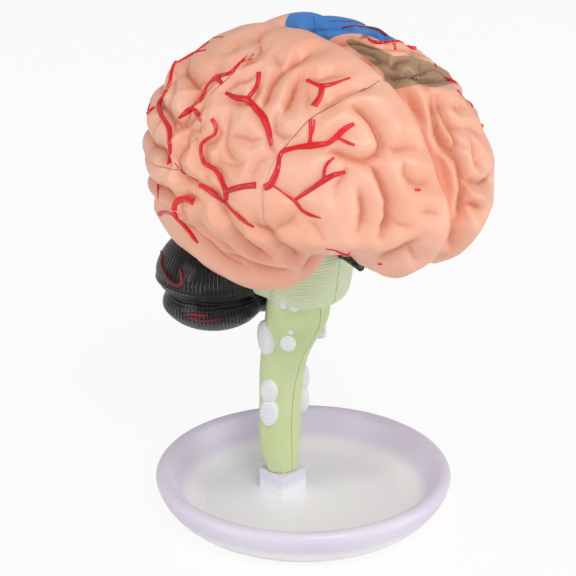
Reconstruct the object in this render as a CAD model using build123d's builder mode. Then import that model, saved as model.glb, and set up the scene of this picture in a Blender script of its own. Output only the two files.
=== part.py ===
from build123d import *
import os
import numpy as np

os.makedirs("parts", exist_ok=True)

# Plug-together brain model at about half life size, on a round dish stand.
# Millimetres, +Z up, forehead toward -Y, the subject's right at -X.
# The origin is the centre of the dish's underside.
# Right-hand pieces are modelled and the left-hand ones are their mirror images.

# Dish
DISH_BASE_RADIUS = 27.5
DISH_RIM_OUTER = 35.7
DISH_RIM_INNER = 32.3
DISH_RIM_TOP = 10.9
DISH_WIDEST_HEIGHT = 8.8
DISH_LIP_HEIGHT = 10.0
DISH_FLOOR_RADIUS = 23.8
DISH_FLOOR = 2.5
# Points that the curved walls and the rolled rim pass through, as (radius, height)
DISH_OUTER_WALL = (32.7, 3.4)
DISH_RIM_CREST = (34.6, DISH_RIM_TOP)
DISH_INNER_WALL = (29.2, 5.2)

# Square post in the dish, with the socket that takes the stem
POST_WIDTH = 8.4
POST_DEPTH = 8.6
POST_TOP = 8.0
POST_Y = 7.1
SOCKET_SIDE = 5.4
SOCKET_BOTTOM = 3.6
SOCKET_CLEARANCE = 0.05
POST_EDGE = 0.8
# Gap under the stem's shoulder and under its plug
SHOULDER_GAP = 0.3

# Gap left at the midline between the two halves, each side of it
MIDLINE_GAP = 0.2
# Gap left on each side of a seam between lobes
SEAM_GAP = 0.2
POCKET_GAP = 0.3

# Cerebral hemisphere: rounded masses that melt into one another.
# Each has a centre and half sizes: width, front, back, up, down, squareness.
VAULT = ((0, 0, 85.8), (37, 46.3, 33, 36.5, 10.3), 2.2)
TEMPORAL_MASS = ((-18, -3.2, 81.2), (13, 20, 33.5, 11, 17.2), 2.0)
OCCIPITAL_MASS = ((-7, 13.3, 96), (22.8, 19, 20, 19, 13), 2.0)
ORBITAL_MASS = ((-5.5, -32, 88), (10, 15.2, 12, 10, 17), 2.0)
MELT = 12.0
MEDIAL_ROUNDING = 4.8
HEART = np.array([-14.0, 0.0, 90.0])

# Relief of the cortex: how deep and wide a full crease is, and how near a corner of
# the mesh must lie to be drawn into its bottom
CREASE_DEPTH = 2.3
CREASE_WIDTH = 2.6
CREASE_STEPS = 14
DRAWN_IN = 1.4
DRAWN_SHARE = 0.6
MESH_FREQUENCY = 14
LATERAL_BIAS = 0.3
# The relief fades out where the halves meet
FADE_START = 0.8
FADE_WIDTH = 2.0

# Creases of the cortex. The first number is the depth, where 1 is a full crease. The
# line is (azimuth, elevation) in degrees seen from the heart of the half: azimuth 0
# is the forehead, 90 the temple and 180 the back of the head.
CREASES = {
    "central": (0.9, [(-18, 66), (14, 68), (42, 49)]),
    "central_fork": (0.6, [(14, 68), (14, 78)]),
    "precentral": (0.9, [(12, 58), (29, 44)]),
    "postcentral": (0.7, [(82, 61), (73, 68), (49, 69)]),
    "parietal_hollow": (0.6, [(82, 61), (58, 57)]),
    "parietal_dimple": (0.5, [(176, 78), (144, 77)]),
    "parietal_arch": (0.7, [(150, 51), (134, 54), (107, 65)]),
    "parietal_leaf": (0.8, [(107, 62), (111, 47)]),
    "angular": (0.6, [(67, 50), (66, 31), (56, 23)]),
    "supramarginal": (0.6, [(67, 37), (43, 34)]),
    "fissure_side": (0.5, [(48, 13), (45, 22), (38, 25)]),
    "sylvian_dimple": (0.4, [(80, 16), (74, 10)]),
    "parietal_low": (0.5, [(69, 26), (68, 22), (53, 23)]),
    "temporal_first": (0.8, [(59, -10), (56, -16), (52, -30), (38, -35)]),
    "temporal_second": (0.6, [(82, -14), (85, -26), (82, -36), (63, -42)]),
    "temporal_third": (1.0, [(101, -41), (81, -48), (59, -45), (28, -43)]),
    "opercular": (0.6, [(39, -8), (32, -3), (30, 2)]),
    "superior_frontal": (1.0, [(0, 37), (-2, 29), (-1, 22), (1, 19), (6, 18), (16, 24)]),
    "frontal_link": (0.8, [(-3, 21), (-4, 19), (-12, 17)]),
    "middle_frontal": (1.0, [(5, 17), (2, 4), (2, 0), (5, -6)]),
    "frontal_branch": (0.6, [(2, 0), (-2, -3)]),
    "polar_loop": (0.7, [(-5, 15), (-5, 9), (-10, 7), (-13, 7)]),
    "pole_valley": (0.8, [(10, 9), (9, 2), (11, -4)]),
    "frontal_notch": (0.7, [(-4, 0), (-9, 0)]),
    "inferior_frontal": (0.6, [(12, 20), (12, 17), (18, 8)]),
    "frontal_low": (0.8, [(-1, -18), (-4, -7)]),
    "frontal_low_fork": (0.7, [(-4, -7), (-4, -9), (-7, -15)]),
    "orbital_rise": (0.5, [(27, 0), (21, -7)]),
    "angular_rear": (0.7, [(104, 36), (100, 26), (106, 16), (100, 7)]),
    "occipital_upper": (0.8, [(116, 65), (119, 56), (116, 49), (112, 40), (118, 30)]),
    "occipital_arch": (0.9, [(119, 56), (138, 54), (160, 48), (190, 46)]),
    "occipital_middle": (0.9, [(118, 30), (134, 34), (150, 30), (170, 32), (195, 28)]),
    "occipital_link": (0.7, [(150, 30), (156, 40), (160, 48)]),
    "occipital_lower": (0.9, [(112, 12), (126, 16), (142, 12), (158, 16), (176, 12), (198, 14)]),
    "occipital_step": (0.6, [(134, 34), (138, 24), (142, 12)]),
    "temporal_rear": (0.9, [(104, -8), (118, -6), (134, -9), (150, -5), (168, -8), (190, -6)]),
    "temporal_rear_low": (0.8, [(100, -20), (116, -18), (134, -20), (152, -17), (172, -20)]),
    "temporal_base": (0.8, [(118, -34), (100, -44), (80, -52), (56, -50)]),
    "orbital": (0.8, [(6, -22), (10, -32), (14, -42)]),
    "orbital_inner": (0.7, [(-14, -20), (-12, -32), (-8, -44)]),
}

# Seams between the lobes, as (y, z) seen from the side
FRONTAL_PARIETAL_SEAM = [(-30, 128), (-28, 115), (-24.2, 109.5), (-20.8, 102), (-20, 95)]
SEAM_JUNCTION = (-21, 86.5)
PARIETAL_REAR_SEAM = [(3.2, 128), (3.2, 121.3), (-1, 118.5), (-0.9, 114.6), (1.4, 109.9), (0.4, 103.6)]
REAR_JUNCTION = (4.6, 93.8)
TEMPORAL_TOP_SEAM = [(-3.5, 92.1), (-11.3, 90.9), (-16.9, 87.5)]
REAR_TOP_SEAM = [(48, 89.5), (17, 92.4)]
TEMPORAL_POLE_SEAM = [(-25.1, 83.6), (-28, 81), (-28, 76), (-25.5, 70), (-24, 60)]
BASE_FLOOR = [(3, 60), (3, 66), (7.5, 70.4), (48, 72)]
# Beyond the brain on every side
REACH = 60.0
SKY = 128.0
GROUND = 60.0

# Inner block that the lobes plug onto, seen from the side as an ellipse
BLOCK_Y = -1.0
BLOCK_Z = 92.0
BLOCK_HALF_LENGTH = 23.0
BLOCK_HALF_HEIGHT = 12.5
BLOCK_FACE_X = -8.0
BLOCK_EDGE = 1.2
NECK_WIDTH = 7.5
NECK_FRONT = -9.0
NECK_BACK = 4.0
NECK_TOP = 83.0
STEM_TOP = 77.0

# Pegs. Each starts inside what carries it and ends short of its socket's bottom.
PEG_ROOT = 2.0
PEG_END_GAP = 0.3
PEG_RADIUS = 1.5
PEG_CLEARANCE = 0.05
PEG_END_X = -16.0
PARIETAL_PEG = (-9.0, 101.0)
OCCIPITAL_PEG = (14.0, 97.0)
TEMPORAL_PEG = (-12.0, 84.0)
FRONTAL_PEG_X = -4.2
FRONTAL_PEG_Z = 94.0
FRONTAL_PEG_START = -20.0
FRONTAL_PEG_END = -31.0
STEM_PEG = (-4.0, -3.0)
STEM_PEG_BOTTOM = STEM_TOP - 1
STEM_PEG_TOP = STEM_TOP + 4
SMALL_PEG_RADIUS = 1.0
SMALL_PEG_DEPTH = 2.4
SMALL_PEG_ROOT = 1.0

# Deep nuclei and ventricle on the block's outer face
NEST_Y = 1.0
NEST_Z = 91.0
NEST_RADIUS = 11.2
NEST_FLOOR_X = -18.2
THALAMUS_HALF_LENGTH = 6.2
THALAMUS_HALF_HEIGHT = 4.6
THALAMUS_RISE = 6.0
THALAMUS_FACE_X = -12.5
PUTAMEN_HALF_LENGTH = 4.0
PUTAMEN_HALF_HEIGHT = 3.0
PUTAMEN_RISE = 4.8
HORN_RADIUS = 8.9
VENTRICLE_THICKNESS = 1.7
HIPPOCAMPUS_THICKNESS = 1.5
HORN_X = -9.4
VENTRICLE_START = -20
VENTRICLE_SWEEP = 220
HIPPOCAMPUS_START = 215
HIPPOCAMPUS_SWEEP = 110

# Brainstem stations: height, centre y, half width, half depth
MEDULLA = [
    (POST_TOP + SHOULDER_GAP, 7.2, 3.9, 3.4), (11, 7.5, 4.8, 3.7), (16, 7.9, 5.9, 3.9),
    (22, 7.9, 6.2, 3.9), (28, 7.6, 6.2, 4.1), (34, 7.2, 6.0, 4.9),
    (40, 6.0, 5.9, 5.9), (46, 3.6, 6.8, 7.0), (52, 1.9, 7.8, 7.4),
    (58, 0.6, 8.4, 7.4),
]
PONS = [
    (55.2, -0.6, 8.4, 6.9), (56.6, -1.5, 10.0, 8.1), (61, -2.3, 10.9, 8.4),
    (67, -3.0, 11.3, 8.6), (STEM_TOP - 4, -3.2, 10.8, 8.2), (STEM_TOP, -3.0, 9.0, 7.0),
]
# The plug reaches a little way up into the medulla
PLUG_TOP = 10.0
STEM_POCKET_X = -11.9
STEM_POCKET_FRONT = -13.7
STEM_POCKET_BACK = 6.8
STEM_POCKET_TOP = 84.0
ORBITAL_BACK_X = -13.0
ORBITAL_BACK_Y = -14.0
ORBITAL_BACK_TOP = 85.5
ORBITAL_OVERLAP = 0.5

# Nerve root pads: x, y, z, turn, half width, half height
ROOT_PADS = [
    (-6.2, 6.5, 44.8, 20, 3.0, 4.0),
    (-5.5, -0.2, 45.7, -34, 2.0, 2.3),
    (-5.7, 6.0, 30.9, -25, 2.1, 3.0),
    (-5.6, 6.1, 25.4, -35, 2.1, 3.2),
]
PAD_RISE = 1.3

# Peduncle: a thick arm with a round plug that carries each half of the cerebellum
PEDUNCLE_ARM_RADIUS = 3.4
PEDUNCLE_ARM_END = 8.4
PEDUNCLE_RADIUS = 2.0
PEDUNCLE_X = -5.5
PEDUNCLE_Z = 58.5
PEDUNCLE_END = 18.0

# Cerebellum, right half
CEREBELLUM_CENTRE = (-8.5, 22.2, 56.8)
CEREBELLUM_HALF_WIDTH = 13.6
CEREBELLUM_HALF_LENGTH = 14.0
CEREBELLUM_HALF_HEIGHT = 12.6
# Rings of the mesh are crown and groove in turn, from the bottom up
FOLIA = 8
FOLIUM_DEPTH = 0.8
FOLIA_AROUND = 26
# One ring is the deep groove between the upper part and the fat lower lobe
DEEP_GROOVE_RING = 7
DEEP_GROOVE_DEPTH = 2.2
LOWER_LOBE_BULGE = 0.7

# Optic chiasm, a small dark fork in front of the pons
CHIASM_Z = 69.2
CHIASM_REACH = 8.5
CHIASM_THICKNESS = 1.8
CHIASM_FORK_Y = -12.8
CHIASM_PLUG_FRONT = -13.5
CHIASM_PLUG_BACK = -8.8
CHIASM_SOCKET_BACK = -8.5
CHIASM_SPREAD = 0.35


def mass_level(p, mass):
    centre, half, power = mass
    d = p - np.array(centre, float)
    along = np.where(d[:, 1] < 0, half[1], half[2])
    high = np.where(d[:, 2] > 0, half[3], half[4])
    total = np.abs(d[:, 0] / half[0]) ** power
    total += np.abs(d[:, 1] / along) ** power
    total += np.abs(d[:, 2] / high) ** power
    return total ** (1 / power)


def body_level(p):
    total = 0
    for mass in (VAULT, TEMPORAL_MASS, OCCIPITAL_MASS, ORBITAL_MASS):
        total = total + mass_level(p, mass) ** -MELT
    outer = total ** (-1 / MELT)
    medial = np.maximum((p[:, 0] - HEART[0]) / (-MIDLINE_GAP - HEART[0]), 0)
    return (outer ** MEDIAL_ROUNDING + medial ** MEDIAL_ROUNDING) ** (1 / MEDIAL_ROUNDING)


def surface_points(directions):
    low = np.full(len(directions), 2.0)
    high = np.full(len(directions), 75.0)
    for _ in range(26):
        middle = (low + high) / 2
        inside = body_level(HEART + directions * middle[:, None]) < 1
        low = np.where(inside, middle, low)
        high = np.where(inside, high, middle)
    return HEART + directions * low[:, None]


def direction(azimuth, elevation):
    a = np.radians(azimuth)
    e = np.radians(elevation)
    return np.array([-np.sin(a) * np.cos(e), -np.cos(a) * np.cos(e), np.sin(e)])


def crease_points():
    # Points along the bottoms of the creases, and how deep each is
    rays = []
    depths = []
    for depth, line in CREASES.values():
        for start, end in zip(line[:-1], line[1:]):
            a = direction(*start)
            b = direction(*end)
            for t in np.linspace(0, 1, CREASE_STEPS):
                ray = a * (1 - t) + b * t
                rays.append(ray / np.linalg.norm(ray))
                depths.append(depth)
    return surface_points(np.array(rays)), np.array(depths)


def geodesic(frequency):
    t = (1 + 5 ** 0.5) / 2
    corners = []
    for s in (-1, 1):
        for u in (-t, t):
            corners += [(s, u, 0), (0, s, u), (u, 0, s)]
    corners = np.array(corners) / np.hypot(1, t)
    gap = np.linalg.norm(corners[:, None] - corners[None], axis=2)
    edge = gap[gap > 0.1].min() * 1.01
    points = {}
    triangles = []

    def index(a, b, c, i, j):
        p = a * (frequency - i - j) + b * i + c * j
        p = p / np.linalg.norm(p)
        return points.setdefault(tuple(np.round(p, 8)), len(points))

    for i in range(12):
        for j in range(i + 1, 12):
            for k in range(j + 1, 12):
                if max(gap[i, j], gap[j, k], gap[i, k]) > edge:
                    continue
                a, b, c = corners[i], corners[j], corners[k]
                if np.dot(np.cross(b - a, c - a), a) < 0:
                    b, c = c, b
                for m in range(frequency):
                    for n in range(frequency - m):
                        v0 = index(a, b, c, m, n)
                        v1 = index(a, b, c, m + 1, n)
                        v2 = index(a, b, c, m, n + 1)
                        triangles.append((v0, v1, v2))
                        if n < frequency - m - 1:
                            v3 = index(a, b, c, m + 1, n + 1)
                            triangles.append((v1, v3, v2))
    return np.array(list(points)), triangles


def faceted(points, triangles):
    corners = [Vector(*p) for p in points]
    faces = []
    for a, b, c in triangles:
        outline = Wire.make_polygon([corners[a], corners[b], corners[c]], close=True)
        faces.append(Face(outline))
    return Solid(Shell(faces))


def hemisphere():
    rays, triangles = geodesic(MESH_FREQUENCY)
    rays = rays - np.array([LATERAL_BIAS, 0, 0])
    rays = rays / np.linalg.norm(rays, axis=1)[:, None]
    corners = surface_points(rays)
    bottoms, depths = crease_points()
    sunk = np.empty(len(corners))
    for i, corner in enumerate(corners):
        gaps = np.linalg.norm(bottoms - corner, axis=1)
        j = gaps.argmin()
        if gaps[j] < DRAWN_IN:
            corners[i] = corner + (bottoms[j] - corner) * DRAWN_SHARE
            gaps = gaps * (1 - DRAWN_SHARE)
        sunk[i] = (depths * np.exp(-((gaps / CREASE_WIDTH) ** 2))).max()
    inward = HEART - corners
    inward = inward / np.linalg.norm(inward, axis=1)[:, None]
    fade = np.clip((-corners[:, 0] - FADE_START) / FADE_WIDTH, 0, 1)
    return faceted(corners + inward * (CREASE_DEPTH * sunk * fade)[:, None], triangles)


def shifted(points, dy, dz):
    return [(y + dy, z + dz) for y, z in points]


def side_prism(outline, inner=0.0, outer=-REACH):
    with BuildPart() as prism:
        with BuildSketch(Plane.YZ.offset(outer)):
            with BuildLine():
                Polyline(*outline, close=True)
            make_face()
        extrude(amount=inner - outer)
    return prism.part


def block_room_with(gap):
    with BuildPart() as room:
        with BuildSketch(Plane.YZ.offset(BLOCK_FACE_X - gap)):
            with Locations((BLOCK_Y, BLOCK_Z)):
                Ellipse(BLOCK_HALF_LENGTH + gap, BLOCK_HALF_HEIGHT + gap)
        extrude(amount=-BLOCK_FACE_X + gap)
    return room.part


def rod(centre_yz, radius, start_x, end_x):
    with BuildPart() as bar:
        with BuildSketch(Plane.YZ.offset(end_x)):
            with Locations(centre_yz):
                Circle(radius)
        extrude(amount=start_x - end_x)
    return bar.part


def rod_y(x, z, radius, start_y, end_y):
    with BuildPart() as bar:
        with BuildSketch(Plane.XZ.offset(-end_y)):
            with Locations((x, z)):
                Circle(radius)
        extrude(amount=end_y - start_y)
    return bar.part


def rod_z(centre_xy, radius, start_z, end_z):
    with BuildPart() as bar:
        with BuildSketch(Plane.XY.offset(start_z)):
            with Locations(centre_xy):
                Circle(radius)
        extrude(amount=end_z - start_z)
    return bar.part


def box(x0, x1, y0, y1, z0, z1):
    with BuildPart() as block:
        with Locations(((x0 + x1) / 2, (y0 + y1) / 2, (z0 + z1) / 2)):
            Box(x1 - x0, y1 - y0, z1 - z0)
    return block.part


def inside_of(x):
    # Everything from x across the midline and beyond
    return box(x, REACH, -REACH, REACH, 0, SKY)


def outside_of(x):
    # Everything from x out to the side
    return box(-REACH, x, -REACH, REACH, 0, SKY)


def save_pair(part, name):
    part.label = name + "_right"
    export_step(part, "parts/" + name + "_right.step")
    other = mirror(part, about=Plane.YZ)
    other.label = name + "_left"
    export_step(other, "parts/" + name + "_left.step")


# The stand: a shallow dish with a rolled rim and a square post
with BuildPart() as stand:
    with BuildSketch(Plane.XZ):
        with BuildLine():
            widest = (DISH_RIM_OUTER, DISH_WIDEST_HEIGHT)
            lip = (DISH_RIM_INNER, DISH_LIP_HEIGHT)
            floor_edge = (DISH_FLOOR_RADIUS, DISH_FLOOR)
            Line((0, 0), (DISH_BASE_RADIUS, 0))
            ThreePointArc((DISH_BASE_RADIUS, 0), DISH_OUTER_WALL, widest)
            ThreePointArc(widest, DISH_RIM_CREST, lip)
            ThreePointArc(lip, DISH_INNER_WALL, floor_edge)
            Line(floor_edge, (0, DISH_FLOOR))
            Line((0, DISH_FLOOR), (0, 0))
        make_face()
    revolve(axis=Axis.Z)
    with Locations((0, POST_Y, (POST_TOP + DISH_FLOOR / 2) / 2)):
        Box(POST_WIDTH, POST_DEPTH, POST_TOP - DISH_FLOOR / 2)
    upright = stand.edges().filter_by(Axis.Z)
    fillet(upright.filter_by_position(Axis.Z, DISH_FLOOR / 2, POST_TOP), POST_EDGE)
    with Locations((0, POST_Y, (POST_TOP + SOCKET_BOTTOM) / 2)):
        Box(SOCKET_SIDE, SOCKET_SIDE, POST_TOP - SOCKET_BOTTOM, mode=Mode.SUBTRACT)
stand.part.label = "dish_stand"
export_step(stand.part, "parts/dish_stand.step")


def column(stations):
    with BuildPart() as body:
        for height, y, half_width, half_depth in stations:
            with BuildSketch(Plane.XY.offset(height)):
                with Locations((0, y)):
                    Ellipse(half_width, half_depth)
        loft()
    return body.part


def egg(centre, halves, turn=0):
    ball = scale(Solid.make_sphere(1.0), by=halves)
    return Pos(*centre) * Rot(0, 0, turn) * ball


pads_right = []
for x, y, z, turn, half_width, half_height in ROOT_PADS:
    pads_right.append(egg((x, y, z), (PAD_RISE, half_width, half_height), -turn))


# Brainstem, right half: medulla, pons, root pads, peduncle plug and socket plug
with BuildPart() as stem_right:
    add(column(MEDULLA))
    add(column(PONS))
    add(pads_right)
    add(rod_y(PEDUNCLE_X, PEDUNCLE_Z, PEDUNCLE_ARM_RADIUS, 0.0, PEDUNCLE_ARM_END))
    add(rod_y(PEDUNCLE_X, PEDUNCLE_Z, PEDUNCLE_RADIUS, 0.0, PEDUNCLE_END))
    plug = SOCKET_SIDE / 2 - SOCKET_CLEARANCE
    plug_bottom = SOCKET_BOTTOM + SHOULDER_GAP
    add(box(-plug, plug, POST_Y - plug, POST_Y + plug, plug_bottom, PLUG_TOP))
    add(rod_z(STEM_PEG, PEG_RADIUS, STEM_PEG_BOTTOM, STEM_PEG_TOP))
    add(inside_of(-MIDLINE_GAP / 2), mode=Mode.SUBTRACT)
    add(rod_y(0, CHIASM_Z, SMALL_PEG_RADIUS, -REACH, CHIASM_SOCKET_BACK), mode=Mode.SUBTRACT)
save_pair(stem_right.part, "brainstem")

# Inner block, right half: the limbic part, with pegs for the lobes
with BuildPart() as limbic_right:
    add(block_room_with(0))
    fillet(limbic_right.edges().group_by(Axis.X)[0], BLOCK_EDGE)
    add(box(-NECK_WIDTH, 0, NECK_FRONT, NECK_BACK, STEM_TOP, NECK_TOP))
    for peg in (PARIETAL_PEG, OCCIPITAL_PEG, TEMPORAL_PEG):
        add(rod(peg, PEG_RADIUS, BLOCK_FACE_X + PEG_ROOT, PEG_END_X))
    add(rod_y(FRONTAL_PEG_X, FRONTAL_PEG_Z, PEG_RADIUS, FRONTAL_PEG_END, FRONTAL_PEG_START))
    add(inside_of(-MIDLINE_GAP), mode=Mode.SUBTRACT)
    stem_socket = rod_z(STEM_PEG, PEG_RADIUS + PEG_CLEARANCE, STEM_PEG_BOTTOM, STEM_PEG_TOP + PEG_END_GAP)
    add(stem_socket, mode=Mode.SUBTRACT)
    for z in (NEST_Z, NEST_Z + HORN_RADIUS, NEST_Z - HORN_RADIUS):
        hole = SMALL_PEG_RADIUS + PEG_CLEARANCE
        bottom = BLOCK_FACE_X + SMALL_PEG_DEPTH + PEG_END_GAP
        add(rod((NEST_Y, z), hole, bottom, -REACH), mode=Mode.SUBTRACT)
save_pair(limbic_right.part, "limbic_lobe")


def small_peg(z, face_x, depth):
    return rod((NEST_Y, z), SMALL_PEG_RADIUS, face_x + depth, face_x - SMALL_PEG_ROOT)


# Thalamus: an egg on the block, its outer end flat with a hole for the putamen
thalamus_egg = egg(
    (BLOCK_FACE_X, NEST_Y, NEST_Z),
    (THALAMUS_RISE, THALAMUS_HALF_LENGTH, THALAMUS_HALF_HEIGHT),
)
with BuildPart() as thalamus_right:
    add(thalamus_egg)
    add(inside_of(BLOCK_FACE_X), mode=Mode.SUBTRACT)
    add(outside_of(THALAMUS_FACE_X), mode=Mode.SUBTRACT)
    add(small_peg(NEST_Z, BLOCK_FACE_X, SMALL_PEG_DEPTH))
    hole = SMALL_PEG_RADIUS + PEG_CLEARANCE
    add(rod((NEST_Y, NEST_Z), hole, THALAMUS_FACE_X + SMALL_PEG_DEPTH, -REACH), mode=Mode.SUBTRACT)
save_pair(thalamus_right.part, "thalamus")

# Putamen: a smaller egg on the thalamus
putamen_egg = egg(
    (THALAMUS_FACE_X, NEST_Y, NEST_Z),
    (PUTAMEN_RISE, PUTAMEN_HALF_LENGTH, PUTAMEN_HALF_HEIGHT),
)
with BuildPart() as putamen_right:
    add(putamen_egg)
    add(inside_of(THALAMUS_FACE_X), mode=Mode.SUBTRACT)
    add(small_peg(NEST_Z, THALAMUS_FACE_X, SMALL_PEG_DEPTH - PEG_END_GAP))
save_pair(putamen_right.part, "putamen")


def horn(thickness, start, sweep_angle):
    # A bent rod around the thalamus, flat where it lies on the block
    a = np.radians(start)
    with BuildPart() as bent:
        foot = Plane(
            origin=(HORN_X, NEST_Y + HORN_RADIUS * np.cos(a), NEST_Z + HORN_RADIUS * np.sin(a)),
            x_dir=(1, 0, 0),
            z_dir=(0, -np.sin(a), np.cos(a)),
        )
        with BuildSketch(foot):
            Circle(thickness)
        axis = Axis((0, NEST_Y, NEST_Z), (1, 0, 0))
        revolve(axis=axis, revolution_arc=sweep_angle)
        add(inside_of(BLOCK_FACE_X), mode=Mode.SUBTRACT)
    return bent.part


# Lateral ventricle with the caudate nucleus along it
with BuildPart() as ventricle_right:
    add(horn(VENTRICLE_THICKNESS, VENTRICLE_START, VENTRICLE_SWEEP))
    add(small_peg(NEST_Z + HORN_RADIUS, BLOCK_FACE_X, SMALL_PEG_DEPTH))
save_pair(ventricle_right.part, "lateral_ventricle")

# Hippocampus, the short bent rod below
with BuildPart() as hippocampus_right:
    add(horn(HIPPOCAMPUS_THICKNESS, HIPPOCAMPUS_START, HIPPOCAMPUS_SWEEP))
    add(small_peg(NEST_Z - HORN_RADIUS, BLOCK_FACE_X, SMALL_PEG_DEPTH))
save_pair(hippocampus_right.part, "hippocampus")


def cerebellum_mesh():
    rows = 2 * FOLIA + 1
    points = [(0, 0, -1)]
    rings = []
    for r in range(1, rows):
        polar = np.pi * r / rows
        ring = []
        for s in range(FOLIA_AROUND):
            turn = 2 * np.pi * s / FOLIA_AROUND
            ring.append(len(points))
            points.append((np.sin(polar) * np.cos(turn), np.sin(polar) * np.sin(turn), -np.cos(polar)))
        rings.append(ring)
    points.append((0, 0, 1))
    triangles = []
    n = FOLIA_AROUND
    for s in range(n):
        triangles.append((0, rings[0][(s + 1) % n], rings[0][s]))
        triangles.append((len(points) - 1, rings[-1][s], rings[-1][(s + 1) % n]))
        for lower, upper in zip(rings[:-1], rings[1:]):
            triangles.append((lower[s], lower[(s + 1) % n], upper[(s + 1) % n]))
            triangles.append((lower[s], upper[(s + 1) % n], upper[s]))
    p = np.array(points, float)
    half = np.array([CEREBELLUM_HALF_WIDTH, CEREBELLUM_HALF_LENGTH, CEREBELLUM_HALF_HEIGHT])
    inset = np.zeros(len(p))
    for r, ring in enumerate(rings):
        number = r + 1
        if number % 2 == 0:
            inset[ring] = FOLIUM_DEPTH
        if number == DEEP_GROOVE_RING:
            inset[ring] = DEEP_GROOVE_DEPTH
        elif number < DEEP_GROOVE_RING:
            inset[ring] -= LOWER_LOBE_BULGE
    size = np.linalg.norm(p * half, axis=1)
    p = p * half * (1 - inset / size)[:, None] + np.array(CEREBELLUM_CENTRE)
    return p, triangles


# Cerebellum, right half, with its folia
with BuildPart() as cerebellum_right:
    add(faceted(*cerebellum_mesh()))
    add(inside_of(-MIDLINE_GAP), mode=Mode.SUBTRACT)
    fit = PEDUNCLE_RADIUS + PEG_CLEARANCE
    add(rod_y(PEDUNCLE_X, PEDUNCLE_Z, fit, 0, PEDUNCLE_END + PEG_END_GAP), mode=Mode.SUBTRACT)
save_pair(cerebellum_right.part, "cerebellum")

cortex = hemisphere()
block_room = block_room_with(POCKET_GAP)
nest_room = rod((NEST_Y, NEST_Z), NEST_RADIUS, 0, NEST_FLOOR_X)
peg_hole = PEG_RADIUS + PEG_CLEARANCE


def stem_room():
    return box(STEM_POCKET_X, REACH, STEM_POCKET_FRONT, STEM_POCKET_BACK, GROUND, STEM_POCKET_TOP)


# Frontal lobe: pulls straight forward
with BuildPart() as frontal_tool:
    outline = shifted(FRONTAL_PARIETAL_SEAM + [SEAM_JUNCTION], -SEAM_GAP, 0)
    outline += shifted(TEMPORAL_POLE_SEAM, -SEAM_GAP, SEAM_GAP)
    add(side_prism(outline + [(-REACH, GROUND), (-REACH, SKY)]))
    lower = shifted(TEMPORAL_POLE_SEAM, -SEAM_GAP - ORBITAL_OVERLAP, SEAM_GAP)
    back = [(ORBITAL_BACK_Y, GROUND), (ORBITAL_BACK_Y, ORBITAL_BACK_TOP)]
    add(side_prism(lower + back, 0.0, ORBITAL_BACK_X))
    add(block_room, mode=Mode.SUBTRACT)
    socket_end = FRONTAL_PEG_END - PEG_END_GAP
    add(rod_y(FRONTAL_PEG_X, FRONTAL_PEG_Z, peg_hole, socket_end, 0), mode=Mode.SUBTRACT)
with BuildPart() as frontal_right:
    add(cortex)
    add(frontal_tool.part, mode=Mode.INTERSECT)
save_pair(frontal_right.part, "frontal_lobe")

# Parietal lobe: pulls out to the side
with BuildPart() as parietal_tool:
    front = shifted(FRONTAL_PARIETAL_SEAM + [SEAM_JUNCTION], SEAM_GAP, SEAM_GAP)
    under = shifted(TEMPORAL_TOP_SEAM[::-1], 0, SEAM_GAP)
    rear = shifted([REAR_JUNCTION] + PARIETAL_REAR_SEAM[::-1], -SEAM_GAP, SEAM_GAP)
    add(side_prism(front + under + rear))
    add(block_room, mode=Mode.SUBTRACT)
    add(nest_room, mode=Mode.SUBTRACT)
    add(rod(PARIETAL_PEG, peg_hole, 0, PEG_END_X - PEG_END_GAP), mode=Mode.SUBTRACT)
with BuildPart() as parietal_right:
    add(cortex)
    add(parietal_tool.part, mode=Mode.INTERSECT)
save_pair(parietal_right.part, "parietal_lobe")

# Occipital lobe: pulls out to the side
with BuildPart() as occipital_tool:
    front = shifted(PARIETAL_REAR_SEAM + [REAR_JUNCTION], SEAM_GAP, SEAM_GAP)
    under = shifted(REAR_TOP_SEAM[::-1], 0, SEAM_GAP)
    add(side_prism(front + under + [(REAR_TOP_SEAM[0][0], SKY)]))
    add(block_room, mode=Mode.SUBTRACT)
    add(nest_room, mode=Mode.SUBTRACT)
    add(rod(OCCIPITAL_PEG, peg_hole, 0, PEG_END_X - PEG_END_GAP), mode=Mode.SUBTRACT)
with BuildPart() as occipital_right:
    add(cortex)
    add(occipital_tool.part, mode=Mode.INTERSECT)
save_pair(occipital_right.part, "occipital_lobe")

# Temporal lobe: pulls out to the side
with BuildPart() as temporal_tool:
    top = REAR_TOP_SEAM + [REAR_JUNCTION] + TEMPORAL_TOP_SEAM + [SEAM_JUNCTION]
    top = shifted(top, 0, -SEAM_GAP)
    pole = shifted(TEMPORAL_POLE_SEAM, SEAM_GAP, -SEAM_GAP)
    add(side_prism(top + pole + BASE_FLOOR))
    add(block_room, mode=Mode.SUBTRACT)
    add(nest_room, mode=Mode.SUBTRACT)
    add(stem_room(), mode=Mode.SUBTRACT)
    orbital_side = ORBITAL_BACK_X - POCKET_GAP
    orbital_back = ORBITAL_BACK_Y + POCKET_GAP
    add(box(orbital_side, REACH, -REACH, orbital_back, 0, SKY), mode=Mode.SUBTRACT)
    add(rod(TEMPORAL_PEG, peg_hole, 0, PEG_END_X - PEG_END_GAP), mode=Mode.SUBTRACT)
with BuildPart() as temporal_right:
    add(cortex)
    add(temporal_tool.part, mode=Mode.INTERSECT)
save_pair(temporal_right.part, "temporal_lobe")

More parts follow.
